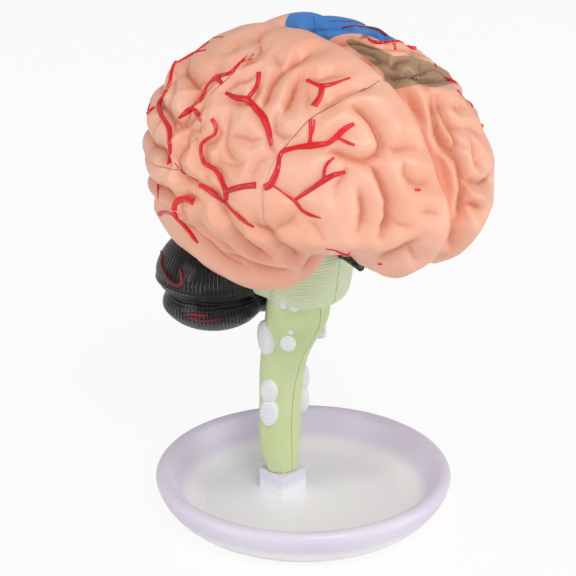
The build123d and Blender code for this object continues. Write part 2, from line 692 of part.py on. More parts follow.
# Optic chiasm: a plug in the pons and two nerves that fork forward
with BuildPart() as chiasm:
    add(rod_y(0, CHIASM_Z, SMALL_PEG_RADIUS, CHIASM_PLUG_FRONT, CHIASM_PLUG_BACK))
    for side in (-1, 1):
        nerve = Plane((0, CHIASM_FORK_Y, CHIASM_Z), z_dir=(side * CHIASM_SPREAD, -1, 0))
        with BuildSketch(nerve):
            Circle(CHIASM_THICKNESS / 2)
        extrude(amount=CHIASM_REACH)
chiasm.part.label = "optic_chiasm"
export_step(chiasm.part, "parts/optic_chiasm.step")

for name, piece in (
    ("frontal", frontal_right), ("parietal", parietal_right),
    ("occipital", occipital_right), ("temporal", temporal_right),
    ("cerebellum", cerebellum_right), ("stem", stem_right),
    ("limbic", limbic_right), ("stand", stand), ("thalamus", thalamus_right),
    ("putamen", putamen_right), ("ventricle", ventricle_right),
    ("hippocampus", hippocampus_right), ("chiasm", chiasm),
):
    bounds = piece.part.bounding_box()
    print(name, len(piece.part.solids()), len(piece.part.faces()), round(piece.part.volume), bounds)
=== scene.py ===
# %% [markdown]
# # A plug-together brain model on a dish stand
# The real object is a teaching model, moulded in soft plastic and painted by hand.
# Its lobes come off an inner block, the stem is split down the middle, and the whole
# brain lifts off a pale dish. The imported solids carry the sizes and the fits, so this
# script dresses them: finer folds on the cortex, fine leaves on the cerebellum,
# painted arteries, and a finish for every plastic.

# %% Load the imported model
import math

import bmesh
import bpy
import numpy as np
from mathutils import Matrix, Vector
from mathutils.bvhtree import BVHTree


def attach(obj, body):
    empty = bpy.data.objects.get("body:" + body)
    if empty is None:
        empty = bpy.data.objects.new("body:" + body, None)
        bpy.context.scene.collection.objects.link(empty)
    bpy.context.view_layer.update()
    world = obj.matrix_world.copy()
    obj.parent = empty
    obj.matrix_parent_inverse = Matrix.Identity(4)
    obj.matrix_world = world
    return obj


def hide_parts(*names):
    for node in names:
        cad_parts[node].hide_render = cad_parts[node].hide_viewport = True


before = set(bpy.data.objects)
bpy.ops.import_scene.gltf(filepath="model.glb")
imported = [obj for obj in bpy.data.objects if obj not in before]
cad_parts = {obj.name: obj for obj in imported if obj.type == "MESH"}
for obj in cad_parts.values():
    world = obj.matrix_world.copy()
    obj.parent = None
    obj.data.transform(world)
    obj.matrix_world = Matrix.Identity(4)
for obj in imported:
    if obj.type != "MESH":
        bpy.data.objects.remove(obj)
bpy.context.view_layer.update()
MM = 0.001

# %% [markdown]
# ## The camera
# It stands where the photographer stood: half a metre off, level with the forehead and
# to its side, looking down a little. A long lens keeps the dish and the brain in true
# proportion. Every pixel measure below is read from a picture 576 pixels wide.

# %% Place the camera
PICTURE_WIDTH = 576
FOCAL_PIXELS = 2130
SENSOR = 36.0
CAMERA_TURN = math.radians(-45)
CAMERA_RISE = math.radians(22)
CAMERA_DISTANCE = 500 * MM
CAMERA_TARGET = Vector((-2.63, 2.63, 57.5)) * MM
CAMERA_CLIP = 10 * MM

away = Vector((
    math.sin(CAMERA_TURN) * math.cos(CAMERA_RISE),
    -math.cos(CAMERA_TURN) * math.cos(CAMERA_RISE),
    math.sin(CAMERA_RISE),
))
eye = CAMERA_TARGET + CAMERA_DISTANCE * away
camera_data = bpy.data.cameras.new("camera")
camera_data.lens = FOCAL_PIXELS / PICTURE_WIDTH * SENSOR
camera_data.sensor_width = SENSOR
camera_data.clip_start = CAMERA_CLIP
camera = bpy.data.objects.new("camera", camera_data)
camera.location = eye
camera.rotation_euler = away.to_track_quat("Z", "Y").to_euler()
bpy.context.scene.collection.objects.link(camera)
bpy.context.scene.camera = camera
picture_right = Vector((math.cos(CAMERA_TURN), math.sin(CAMERA_TURN), 0))
picture_up = away.cross(picture_right)
print("lens in mm:", round(camera_data.lens, 1))


# %% Turn a pixel into a line of sight
def sight(x, y):
    """Direction from the camera through pixel (x, y) of the picture."""
    across = (x - PICTURE_WIDTH / 2) / FOCAL_PIXELS
    down = (y - PICTURE_WIDTH / 2) / FOCAL_PIXELS
    return (picture_right * across - picture_up * down - away).normalized()


# %% [markdown]
# ## Helpers
# Objects, nodes and materials are made many times below. They could each be written
# out, but a short function for each keeps the later cells about the brain model.

# %% Objects, colours and nodes
def new_object(name, data):
    piece = bpy.data.objects.new(name, data)
    bpy.context.scene.collection.objects.link(piece)
    return piece


def finished_mesh(name, work):
    """Closes a bmesh and hands back its mesh."""
    mesh = bpy.data.meshes.new(name)
    work.to_mesh(mesh)
    work.free()
    return mesh


def colour(code):
    """A colour written as it looks, such as F6B79C, as linear light."""
    parts = [int(code[i:i + 2], 16) / 255 for i in (0, 2, 4)]
    linear = [c / 12.92 if c <= 0.04045 else ((c + 0.055) / 1.055) ** 2.4 for c in parts]
    return (*linear, 1)


def feed(made, values):
    """Links each named input to a socket, or gives it a plain value."""
    for socket, value in values.items():
        if isinstance(value, bpy.types.NodeSocket):
            made.id_data.links.new(value, made.inputs[socket])
        else:
            made.inputs[socket].default_value = value


def node(tree, kind, inputs=None, **settings):
    made = tree.nodes.new(kind)
    for name, value in settings.items():
        setattr(made, name, value)
    feed(made, inputs or {})
    return made


def calculate(tree, operation, *values):
    """The result of a Math node on numbers or sockets."""
    return node(tree, "ShaderNodeMath", dict(enumerate(values)), operation=operation).outputs[0]


def material(name, **finish):
    """A material with its tree and Principled shader, and its constants on the shader."""
    made = bpy.data.materials.new(name)
    made.use_nodes = True
    shader = made.node_tree.nodes["Principled BSDF"]
    feed(shader, {key.replace("_", " "): value for key, value in finish.items()})
    return made, made.node_tree, shader


# %% [markdown]
# ## Studio light
# The photo has a white background and very soft light. Three large lamps and a pale
# world give that. The world and the floor are white where the camera sees them, and
# dimmer as lights, so that the creases keep their shade.

# %% Lamps
LAMPS = [
    ("key_lamp", (-0.35, -0.75, 0.95), 0.50, 5.9),
    ("fill_lamp", (0.60, -0.85, 0.30), 0.70, 3.4),
    ("side_lamp", (-0.95, 0.25, 0.45), 0.60, 2.6),
]
LAMP_TARGET = Vector((0, 0, 70)) * MM


def add_lamp(name, place, side, watts):
    lamp_data = bpy.data.lights.new(name, "AREA")
    lamp_data.size = side
    lamp_data.energy = watts
    lamp = new_object(name, lamp_data)
    lamp.location = place
    toward = LAMP_TARGET - Vector(place)
    lamp.rotation_euler = toward.to_track_quat("-Z", "Y").to_euler()


for lamp_settings in LAMPS:
    add_lamp(*lamp_settings)
print("lamps:", len(LAMPS))

# %% World and floor
WORLD_GLOW = 0.36
FLOOR_SIDE = 12.0
FLOOR_DROP = 0.2 * MM
FLOOR_GREY = 0.95
FLOOR_WHITENING = 0.9


def light_the_world():
    world = bpy.data.worlds.new("studio")
    world.use_nodes = True
    tree = world.node_tree
    rays = node(tree, "ShaderNodeLightPath").outputs
    seen = calculate(tree, "MAXIMUM", rays["Is Camera Ray"], rays["Is Transmission Ray"])
    level = node(tree, "ShaderNodeMapRange", {"Value": seen, "To Min": WORLD_GLOW, "To Max": 1.0})
    white = {"Color": (1, 1, 1, 1), "Strength": level.outputs["Result"]}
    feed(tree.nodes["Background"], white)
    bpy.context.scene.world = world


def floor_material():
    grey = (FLOOR_GREY, FLOOR_GREY, FLOOR_GREY, 1)
    made, tree, shader = material("floor_paint", Roughness=0.9, Base_Color=grey)
    white = node(tree, "ShaderNodeEmission").outputs["Emission"]
    seen = node(tree, "ShaderNodeLightPath").outputs["Is Camera Ray"]
    share = calculate(tree, "MULTIPLY", seen, FLOOR_WHITENING)
    both = node(tree, "ShaderNodeMixShader", {0: share, 1: shader.outputs["BSDF"], 2: white})
    feed(tree.nodes["Material Output"], {"Surface": both.outputs["Shader"]})
    return made


def lay_floor():
    work = bmesh.new()
    bmesh.ops.create_grid(work, x_segments=1, y_segments=1, size=FLOOR_SIDE / 2)
    floor = new_object("floor", finished_mesh("floor", work))
    floor.location.z = -FLOOR_DROP
    floor.data.materials.append(floor_material())


light_the_world()
lay_floor()
bpy.context.scene.view_settings.view_transform = "Standard"
print("floor side in metres:", FLOOR_SIDE)

# %% [markdown]
# ## The shape under the folds
# Half of the cortex is four rounded masses that melt into one another, cut flat at the
# midline. A line from the heart of the half meets that skin once, so every point of the
# skin has a height along its own line. The folds are then a matter of that height.
# All of this works in millimetres on the right half. The left half is its mirror.

# %% Rounded masses of the hemisphere
VAULT = ((0, 0, 85.8), (37, 46.3, 33, 36.5, 10.3), 2.2)
TEMPORAL_MASS = ((-18, -3.2, 81.2), (13, 20, 33.5, 11, 17.2), 2.0)
OCCIPITAL_MASS = ((-7, 13.3, 96), (22.8, 19, 20, 19, 13), 2.0)
ORBITAL_MASS = ((-5.5, -32, 88), (10, 15.2, 12, 10, 17), 2.0)
MELT = 12.0
# Higher than the solids have, so that the shoulders of the midline are fuller
MEDIAL_ROUNDING = 6.5
HEART = np.array([-14.0, 0.0, 90.0])
MIDLINE_X = -0.2
HEART_NEAR = 2.0
HEART_FAR = 75.0
HALVINGS = 24


def mass_level(p, mass):
    centre, half, power = mass
    d = p - np.array(centre, float)
    along = np.where(d[:, 1] < 0, half[1], half[2])
    high = np.where(d[:, 2] > 0, half[3], half[4])
    total = np.abs(d[:, 0] / half[0]) ** power
    total += np.abs(d[:, 1] / along) ** power
    total += np.abs(d[:, 2] / high) ** power
    return total ** (1 / power)


def skin_level(p):
    """Below 1 inside the smooth hemisphere and above 1 outside it."""
    total = 0
    for mass in (VAULT, TEMPORAL_MASS, OCCIPITAL_MASS, ORBITAL_MASS):
        total = total + mass_level(p, mass) ** -MELT
    outer = total ** (-1 / MELT)
    medial = np.maximum((p[:, 0] - HEART[0]) / (MIDLINE_X - HEART[0]), 0)
    return (outer ** MEDIAL_ROUNDING + medial ** MEDIAL_ROUNDING) ** (1 / MEDIAL_ROUNDING)


def skin_reach(rays):
    """Distance from the heart to the skin along each ray, found by halving."""
    low = np.full(len(rays), HEART_NEAR)
    high = np.full(len(rays), HEART_FAR)
    for halving in range(HALVINGS):
        middle = (low + high) / 2
        inside = skin_level(HEART + rays * middle[:, None]) < 1
        low = np.where(inside, middle, low)
        high = np.where(inside, high, middle)
    return low


def ray_from_heart(azimuth, elevation):
    a = math.radians(azimuth)
    e = math.radians(elevation)
    return np.array([-math.sin(a) * math.cos(e), -math.cos(a) * math.cos(e), math.sin(e)])


print("half a brain is", -round(VAULT[1][0]), "to", MIDLINE_X, "mm across")

# %% [markdown]
# ## Where the creases run
# The folds are what one sees first, so the creases of the visible side were traced from
# the photo. They are listed as pixels, and their lines of sight are followed to the
# skin. Creases on the hidden sides are listed as angles from the heart of the half:
# azimuth 0 is the forehead, 90 the temple and 180 the back of the head. The first
# number of each is how deep the crease is, where 1 is a full fold.

# %% Creases of the near half, as pixels
NEAR_CREASES = {
    "central": (0.9, [
        (315, 47), (303, 52), (293, 58), (287, 61), (280, 69), (273, 80), (269, 91), (264, 103),
    ]),
    "central_fork": (0.6, [(287, 61), (280, 55), (275, 50)]),
    "precentral": (0.9, [(301, 72), (299, 80), (296, 91), (290, 103), (287, 108)]),
    "postcentral": (0.7, [(224, 86), (230, 79), (237, 74), (247, 72), (256, 69)]),
    "parietal_hollow": (0.6, [(224, 86), (231, 89), (244, 92)]),
    "parietal_dimple": (0.5, [(238, 37), (235, 44), (231, 46)]),
    "parietal_arch": (0.7, [(182, 68), (187, 76), (200, 74), (213, 73)]),
    "parietal_leaf": (0.8, [(210, 77), (202, 83), (195, 93), (188, 100)]),
    "angular": (0.6, [(230, 107), (227, 119), (224, 131), (223, 145), (227, 154), (237, 162)]),
    "supramarginal": (0.6, [(224, 132), (230, 132), (241, 134), (252, 138), (262, 136)]),
    "fissure_side": (0.5, [(253, 183), (253, 174), (259, 163), (266, 158), (274, 155)]),
    "sylvian_dimple": (0.4, [(201, 169), (202, 176), (208, 182)]),
    "parietal_low": (0.5, [(218, 153), (218, 162), (225, 164), (236, 166), (243, 162)]),
    "temporal_first": (0.8, [(230, 227), (237, 239), (249, 251), (262, 260), (272, 264)]),
    "temporal_second": (0.6, [(196, 222), (203, 233), (213, 244), (225, 254), (236, 262)]),
    "temporal_third": (1.0, [
        (199, 244), (208, 252), (219, 262), (227, 266), (241, 269), (256, 274), (272, 278), (287, 278),
    ]),
    "opercular": (0.6, [(273, 235), (283, 231), (293, 226), (296, 218), (299, 214)]),
    "inferior_frontal": (0.6, [(351, 158), (352, 168), (348, 177), (341, 188), (338, 196)]),
    "orbital_rise": (0.5, [(308, 221), (317, 226), (323, 235), (327, 242)]),
    "rear_vessel": (0.6, [(172, 68), (168, 88), (157, 107), (163, 117)]),
    "rear_arch": (0.8, [(163, 112), (170, 119), (178, 120), (190, 110), (200, 99)]),
    "rear_fork": (0.5, [(178, 121), (186, 128), (196, 128), (201, 120)]),
    "rear_fall": (0.5, [(186, 128), (193, 140), (196, 160), (201, 168)]),
    "angular_top": (0.7, [(226, 93), (240, 98), (250, 97), (257, 86), (260, 72)]),
    "angular_front": (0.7, [(250, 98), (262, 112), (268, 125), (272, 145), (278, 153)]),
    "angular_vessel": (0.7, [
        (214, 120), (217, 130), (210, 138), (200, 142), (199, 155), (204, 165), (216, 170), (222, 185),
    ]),
    "marginal_box": (0.7, [(277, 112), (277, 127), (284, 133), (297, 132)]),
    "precentral_top": (0.6, [(300, 76), (308, 74), (322, 75), (335, 71), (346, 72)]),
    "postcentral_side": (0.5, [(309, 82), (312, 95), (309, 107)]),
    "central_top": (0.6, [(376, 83), (360, 86), (345, 92), (332, 100), (324, 107)]),
    "frontal_stem": (0.4, [(312, 118), (311, 130), (309, 142)]),
    "frontal_vessel": (0.7, [(279, 150), (290, 147), (310, 145), (327, 144), (340, 136), (352, 126)]),
    "frontal_curl": (0.3, [(350, 128), (358, 130), (360, 138), (355, 145)]),
    "opercular_vessel": (0.5, [(297, 200), (310, 190), (325, 180), (330, 168), (335, 158)]),
    "opercular_low": (0.5, [(280, 187), (297, 200), (305, 212), (318, 218)]),
    "rear_top": (0.7, [(262, 26), (256, 33), (256, 39), (260, 45), (254, 52), (242, 60)]),
    "sylvian_rear": (0.6, [(172, 167), (180, 180), (195, 187), (210, 194), (222, 200)]),
    "sylvian_low": (0.9, [(258, 229), (273, 239), (288, 252), (300, 262)]),
    "temporal_hook": (0.6, [(196, 202), (183, 198), (175, 204), (177, 216), (186, 228), (199, 244)]),
    "temporal_link": (0.6, [(216, 204), (223, 214), (230, 227)]),
}
# The far half shows a pattern of its own where these lie
NEAR_FRONT_CREASES = {
    "superior_frontal": (1.0, [
        (358, 102), (370, 108), (379, 119), (386, 133), (390, 143), (387, 153), (379, 159), (371, 161),
        (358, 158), (346, 152), (334, 150),
    ]),
    "frontal_link": (0.8, [(394, 144), (402, 149), (412, 148), (422, 147)]),
    "middle_frontal": (1.0, [
        (376, 162), (384, 171), (389, 181), (393, 193), (397, 203), (396, 212), (397, 220), (393, 228),
        (387, 239),
    ]),
    "frontal_branch": (0.6, [(397, 220), (405, 226), (415, 228)]),
    "polar_loop": (0.7, [
        (410, 162), (410, 168), (412, 175), (417, 182), (426, 186), (434, 185), (437, 181),
    ]),
    "pole_valley": (0.8, [(364, 191), (368, 202), (370, 214), (368, 225), (363, 234)]),
    "frontal_notch": (0.7, [(426, 215), (435, 214), (442, 215)]),
    "frontal_low": (0.8, [(386, 262), (400, 256), (415, 249), (424, 242)]),
    "frontal_low_fork": (0.7, [(422, 243), (418, 249), (419, 255), (422, 262)]),
}

# %% Creases of the far half, as pixels
FAR_CREASES = {
    "short_groove": (0.6, [(411, 93), (415, 105), (424, 116), (428, 122)]),
    "first_groove": (1.0, [
        (436, 93), (439, 108), (441, 122), (444, 134), (450, 146), (457, 153), (464, 163), (468, 177),
        (470, 191), (468, 203), (466, 216), (462, 223),
    ]),
    "second_groove": (0.9, [(442, 93), (446, 108), (453, 122), (459, 129), (467, 127)]),
    "right_dent": (0.7, [(456, 106), (461, 108), (466, 105)]),
    "oval": (0.9, [(450, 120), (459, 132), (463, 142), (459, 152), (452, 147), (444, 137)]),
    "inner_bend": (0.7, [(475, 137), (479, 147), (480, 158), (482, 164), (488, 167)]),
    "upper_notch": (1.0, [(470, 182), (479, 185), (489, 187), (498, 182)]),
    "lower_notch": (1.0, [(468, 208), (477, 208), (484, 211), (488, 213)]),
    "lower_loop": (0.7, [(462, 223), (456, 226), (448, 226)]),
    "lower_fold": (0.7, [(458, 228), (458, 235), (456, 245), (455, 254)]),
    "brown_crease": (0.9, [(387, 73), (399, 73), (411, 70), (418, 72), (426, 77), (439, 76), (455, 75)]),
    "brown_fold": (0.6, [(367, 58), (382, 55), (387, 56), (399, 64), (405, 67)]),
    "brown_rise": (0.6, [(421, 61), (426, 67), (427, 77)]),
    "soft_groove": (0.4, [(441, 150), (446, 165), (450, 185), (452, 205)]),
    "side_arch": (0.5, [(467, 127), (476, 129), (486, 136)]),
    "brown_upper": (0.8, [(352, 39), (365, 45), (377, 49), (384, 55), (372, 57), (363, 57)]),
    "brown_ridge": (0.8, [(402, 68), (397, 62), (401, 56), (412, 56)]),
    "brown_end": (0.8, [(424, 79), (436, 77), (453, 76)]),
    "brown_split": (0.7, [(424, 60), (421, 68), (427, 77), (432, 88)]),
    "blue_edge": (0.9, [
        (284, 29), (298, 32), (306, 33), (312, 41), (328, 42), (342, 35), (359, 34), (375, 40), (390, 43),
        (409, 45),
    ]),
    "blue_fold": (0.8, [(297, 30), (306, 24), (318, 21), (335, 21), (352, 24)]),
    "blue_middle": (0.7, [(340, 30), (352, 28), (366, 30)]),
    "blue_lump": (0.8, [(360, 33), (366, 26), (375, 25), (383, 31), (388, 38)]),
    "blue_end": (0.7, [(378, 20), (388, 29), (400, 36), (416, 41)]),
}

# %% Creases of the hidden sides, as angles
HIDDEN_CREASES = {
    "angular_rear": (0.7, [(104, 36), (100, 26), (106, 16), (100, 7)]),
    "occipital_upper": (0.8, [(116, 65), (119, 56), (116, 49), (112, 40), (118, 30)]),
    "occipital_arch": (0.9, [(119, 56), (138, 54), (160, 48), (190, 46)]),
    "occipital_middle": (0.9, [(118, 30), (134, 34), (150, 30), (170, 32), (195, 28)]),
    "occipital_link": (0.7, [(150, 30), (156, 40), (160, 48)]),
    "occipital_lower": (0.9, [(112, 12), (126, 16), (142, 12), (158, 16), (176, 12), (198, 14)]),
    "occipital_step": (0.6, [(134, 34), (138, 24), (142, 12)]),
    "temporal_rear": (0.9, [(104, -8), (118, -6), (134, -9), (150, -5), (168, -8), (190, -6)]),
    "temporal_rear_low": (0.8, [(100, -20), (116, -18), (134, -20), (152, -17), (172, -20)]),
    "temporal_base": (0.8, [(118, -34), (100, -44), (80, -52), (56, -50)]),
    "orbital": (0.8, [(6, -22), (10, -32), (14, -42)]),
    "orbital_inner": (0.7, [(-14, -20), (-12, -32), (-8, -44)]),
}

# Seams between the lobes, as (y, z) seen from the side
SEAMS = [
    [(-30, 128), (-28, 115), (-24.2, 109.5), (-20.8, 102), (-20, 95), (-21, 86.5)],
    [(3.2, 128), (3.2, 121.3), (-1, 118.5), (-0.9, 114.6), (1.4, 109.9), (0.4, 103.6), (4.6, 93.8)],
    [(48, 89.5), (17, 92.4), (4.6, 93.8), (-3.5, 92.1), (-11.3, 90.9), (-16.9, 87.5), (-21, 86.5)],
    [(-21, 86.5), (-25.1, 83.6), (-28, 81), (-28, 76), (-25.5, 70), (-24, 60)],
]


# %% Lay the creases on the skin
SIGHT_NEAR = 420.0
SIGHT_FAR = 560.0
SIGHT_STEP = 0.25


def pixels_on_skin(pixels, far_half=False):
    """Points of the smooth skin seen at these pixels, as points of the right half."""
    start = np.array(eye) / MM
    rays = np.array([sight(x, y) for x, y in pixels])
    if far_half:
        start = start * (-1, 1, 1)
        rays = rays * (-1, 1, 1)
    steps = np.arange(SIGHT_NEAR, SIGHT_FAR, SIGHT_STEP)
    found = []
    for ray in rays:
        levels = skin_level(start + ray * steps[:, None])
        inside = np.nonzero(levels < 1)[0]
        nearest = inside[0] if len(inside) else levels.argmin()
        found.append(start + ray * steps[nearest])
    return np.array(found)


def angles_on_skin(angles):
    rays = np.array([ray_from_heart(a, e) for a, e in angles])
    return HEART + rays * skin_reach(rays)[:, None]


shared = [(depth, pixels_on_skin(line)) for depth, line in NEAR_CREASES.values()]
shared += [(depth, angles_on_skin(line)) for depth, line in HIDDEN_CREASES.values()]
near = [(depth, pixels_on_skin(line)) for depth, line in NEAR_FRONT_CREASES.values()]
far = [(depth, pixels_on_skin(line, far_half=True)) for depth, line in FAR_CREASES.values()]
creases = {"right": shared + near, "left": shared + far}
print("creases right and left:", len(creases["right"]), len(creases["left"]))


# %% [markdown]
# ## Dressing a lobe
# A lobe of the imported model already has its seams, its pockets and its peg holes, but
# its skin is a coarse net. So a copy of it is merged, the faces of the skin are cut
# finer, and each point of the skin is moved along its line from the heart to where the
# folds put it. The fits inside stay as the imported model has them.

# %% How deep each point of the skin lies
# A full fold: its depth, how far the fall to it reaches, and how much of it is a cut
FOLD_DEPTH = 3.6
VALLEY_REACH = 4.6
CUT_REACH = 5.2
CUT_SHARE = 0.9
CUT_POWER = 2.2
# A fold runs out towards its ends
END_LENGTH = 2.5
END_SHARE = 0.6
# The painted shade of a crease lies nearer to it than the fall does
CREASE_SHADE_REACH = 1.3
CREASE_SHADE_SHARE = 0.5
SEAM_DEPTH = 0.8
SEAM_REACH = 1.7
MEDIAL_FADE = 1.4
SWELL_HEIGHT = 0.35
SWELL_LENGTH = 11.0
# A high power lets the deepest of the folds at a point win
BLEND = 4
FAR_AWAY = 99.0
# The cut under the brain, also as (y, z)
UNDERSIDE = [(3, 60), (3, 66), (7.5, 70.4), (48, 72)]
seam_lines = [np.array(seam, float) for seam in SEAMS]
underside_line = np.array(UNDERSIDE, float)


def nearest_on_line(points, line):
    """Distance in millimetres to a line of straight runs, and to its nearer end."""
    nearest = np.full(len(points), FAR_AWAY)
    along = np.zeros(len(points))
    passed = 0.0
    for a, b in zip(line[:-1], line[1:]):
        ab = b - a
        length = max(np.linalg.norm(ab), 1e-9)
        share = np.clip(((points - a) @ ab) / length ** 2, 0, 1)
        gap = np.linalg.norm(points - a - share[:, None] * ab, axis=1)
        nearer = gap < nearest
        nearest[nearer] = gap[nearer]
        along[nearer] = passed + share[nearer] * length
        passed += length
    return nearest, np.minimum(along, passed - along)


def distance_to_line(points, line):
    return nearest_on_line(points, line)[0]


def valley(gap, reach):
    """1 in the bottom and 0 on the crown, round in both."""
    share = np.clip(1 - gap / reach, 0, 1)
    return share * share * (3 - 2 * share)


def cut(gap, reach):
    """1 in the crease, with the round shoulders of two gyri that meet."""
    share = np.clip(1 - gap / reach, 0, 1)
    return share ** CUT_POWER


def seam_distance(points):
    return np.min([distance_to_line(points[:, 1:], line) for line in seam_lines], axis=0)


def swell(points):
    """Soft lumps of a hand-carved master, from -1 to 1."""
    x, y, z = (points / SWELL_LENGTH * 2 * math.pi).T
    return (np.sin(x + 0.6 * z) * np.sin(y - 0.4 * x) + np.sin(0.8 * z + 0.7 * y + 2)) / 2


def folded_skin(points, side_name):
    """Moves points of a half onto its folded skin, and gives each its share of painted shade for the
    creases.
    """
    rays = points - HEART
    rays = rays / np.linalg.norm(rays, axis=1)[:, None]
    reach = skin_reach(rays)
    smooth = HEART + rays * reach[:, None]
    depths = []
    crease_shades = []
    for depth, line in creases[side_name]:
        gap, to_end = nearest_on_line(smooth, line)
        local = depth * (END_SHARE + (1 - END_SHARE) * np.clip(to_end / END_LENGTH, 0, 1))
        sharp = CUT_SHARE * local
        shape = (1 - sharp) * valley(gap, VALLEY_REACH) + sharp * cut(gap, CUT_REACH)
        depths.append(local * shape)
        crease_shades.append(local * valley(gap, CREASE_SHADE_REACH))
    deep = (np.array(depths) ** BLEND).sum(axis=0) ** (1 / BLEND)
    seam = cut(seam_distance(smooth), SEAM_REACH)
    fade = np.clip((MIDLINE_X - smooth[:, 0]) / MEDIAL_FADE, 0, 1)
    sunk = np.maximum(deep * FOLD_DEPTH, seam * SEAM_DEPTH)
    sunk = (sunk + SWELL_HEIGHT * (1 + swell(smooth)) / 2) * fade
    # The painted shade in the creases: a share by which the cortex material darkens its colour
    mark = np.maximum(np.max(crease_shades, axis=0), CREASE_SHADE_SHARE * deep) * fade
    return HEART + rays * (reach - sunk)[:, None], mark


# %% Hold the skin at the seams
SIDES = {"right": 1, "left": -1}
# Within this of a seam, the folds move the skin along it and not across
SEAM_HOLD = 2.5
# The lips of a seam close up a little, so that it shows as a fine line
SEAM_CLOSE = 0.22
SEAM_LIP = 0.7
SEAM_LEAST = 0.02
SEAM_CLOSE_MOST = 0.7


def on_right(points, side_name):
    """The same points on the right half, or back again."""
    return points * (SIDES[side_name], 1, 1)


def toward_seam(points):
    """The step in y and z to the nearest seam, its length, and the seam's normal there."""
    best = np.full(len(points), FAR_AWAY)
    step = np.zeros((len(points), 2))
    normal = np.zeros((len(points), 2))
    for line in seam_lines:
        for a, b in zip(line[:-1], line[1:]):
            ab = b - a
            share = np.clip(((points[:, 1:] - a) @ ab) / (ab @ ab), 0, 1)
            to_line = a + share[:, None] * ab - points[:, 1:]
            gap = np.linalg.norm(to_line, axis=1)
            nearer = gap < best
            best[nearer] = gap[nearer]
            step[nearer] = to_line[nearer]
            normal[nearer] = np.array([-ab[1], ab[0]]) / np.linalg.norm(ab)
    return step, best, normal


def held_at_seams(before, points):
    """Keeps each skin on its side of a seam, so that a lobe slides out without a clash."""
    step, gap, normal = toward_seam(before)
    held = points.copy()
    share = np.clip(1 - gap / SEAM_HOLD, 0, 1)
    across = ((points - before)[:, 1:] * normal).sum(axis=1)
    held[:, 1:] -= (share * across)[:, None] * normal
    pull = SEAM_CLOSE * np.clip(1 - gap / SEAM_LIP, 0, 1) / np.maximum(gap, SEAM_LEAST)
    held[:, 1:] += step * np.minimum(pull, SEAM_CLOSE_MOST)[:, None]
    return held


# %% Open a copy of a solid, and close it as a piece
MERGE_GAP = 0.002 * MM


def opened_copy(node_name, *layer_names):
    """A copy of a solid to work on, with a mark for its skin and layers for its points."""
    work = bmesh.new()
    work.from_mesh(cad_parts[node_name].data)
    bmesh.ops.remove_doubles(work, verts=work.verts, dist=MERGE_GAP)
    marked = work.faces.layers.int.new("skin")
    layers = [work.verts.layers.float.new(name) for name in layer_names]
    work.normal_update()
    return work, marked, layers


def cut_finer(work, marked, skin, cuts, side_name):
    """Cuts the skin's faces finer. Hands back its points and their places on the right."""
    for face in skin:
        face[marked] = 1
    edges = list({edge for face in skin for edge in face.edges})
    bmesh.ops.subdivide_edges(work, edges=edges, cuts=cuts, use_grid_fill=True)
    on_skin = [v for v in work.verts if any(f[marked] for f in v.link_faces)]
    return on_skin, on_right(np.array([v.co for v in on_skin]) / MM, side_name)


def dressed_piece(name, work, marked, node_name, body):
    """A piece with a smooth skin and flat walls, in the place of its solid."""
    for face in work.faces:
        face.smooth = bool(face[marked])
    for edge in work.edges:
        faces = edge.link_faces
        if len(faces) == 2 and faces[0][marked] != faces[1][marked]:
            edge.smooth = False
    piece = new_object(name, finished_mesh(name, work))
    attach(piece, body)
    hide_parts(node_name)
    print(name, len(piece.data.vertices), "points")
    return piece


# %% Dress one lobe
SKIN_THICKNESS = 4.4
SKIN_CUTS = 5
FLAT = 0.9998
SEAM_WALL = 0.9
SEAM_WALL_TILT = 0.02
MIDLINE_ROOM = 0.5
LEAST_OUTWARD = 0.05


def skin_faces(work, side_name):
    """Faces of the outer skin: near the smooth skin, and on no seam or pocket wall."""
    centres = on_right(np.array([f.calc_center_median() for f in work.faces]) / MM, side_name)
    normals = on_right(np.array([f.normal for f in work.faces]), side_name)
    rays = centres - HEART
    lengths = np.linalg.norm(rays, axis=1)
    rays = rays / lengths[:, None]
    depth = skin_reach(rays) - lengths
    to_wall = np.minimum(seam_distance(centres), distance_to_line(centres[:, 1:], underside_line))
    on_seam = (np.abs(normals[:, 0]) < SEAM_WALL_TILT) & (to_wall < SEAM_WALL)
    in_pocket = (np.abs(normals).max(axis=1) > FLAT) & (normals[:, 0] > -FLAT)
    medial = centres[:, 0] > MIDLINE_X - MIDLINE_ROOM
    inward = (normals * rays).sum(axis=1) < LEAST_OUTWARD
    keep = (depth < SKIN_THICKNESS) & ~on_seam & ~in_pocket & ~medial & ~inward
    return [face for face, good in zip(work.faces, keep) if good]


def dress_lobe(lobe, side_name):
    node_name = f"{lobe}_lobe_{side_name}"
    work, marked, (crease_shade_layer,) = opened_copy(node_name, "crease")
    skin = skin_faces(work, side_name)
    on_skin, points = cut_finer(work, marked, skin, SKIN_CUTS, side_name)
    moved, deep = folded_skin(points, side_name)
    moved = on_right(held_at_seams(points, moved), side_name)
    # Each point keeps its share of painted shade for the creases, for the material
    for v, place, shade in zip(on_skin, moved, deep):
        v.co = place * MM
        v[crease_shade_layer] = shade
    name = f"{lobe}_cortex_{side_name}"
    return dressed_piece(name, work, marked, node_name, f"{lobe}_{side_name}")


lobes = {}
for side_name in SIDES:
    for lobe in ("frontal", "parietal", "occipital", "temporal"):
        lobes[f"{lobe}_{side_name}"] = dress_lobe(lobe, side_name)

# %% [markdown]
# ## Painted fields on the far half
# On the real model two fields of the left half are painted, one blue and one brown.
# Their outlines are lines on the picture. Each point of the skin gets its distance to
# the outline, above zero inside it, and the material turns that into a sharp edge. This
# is finer than the mesh, as a colour on each point would not be.

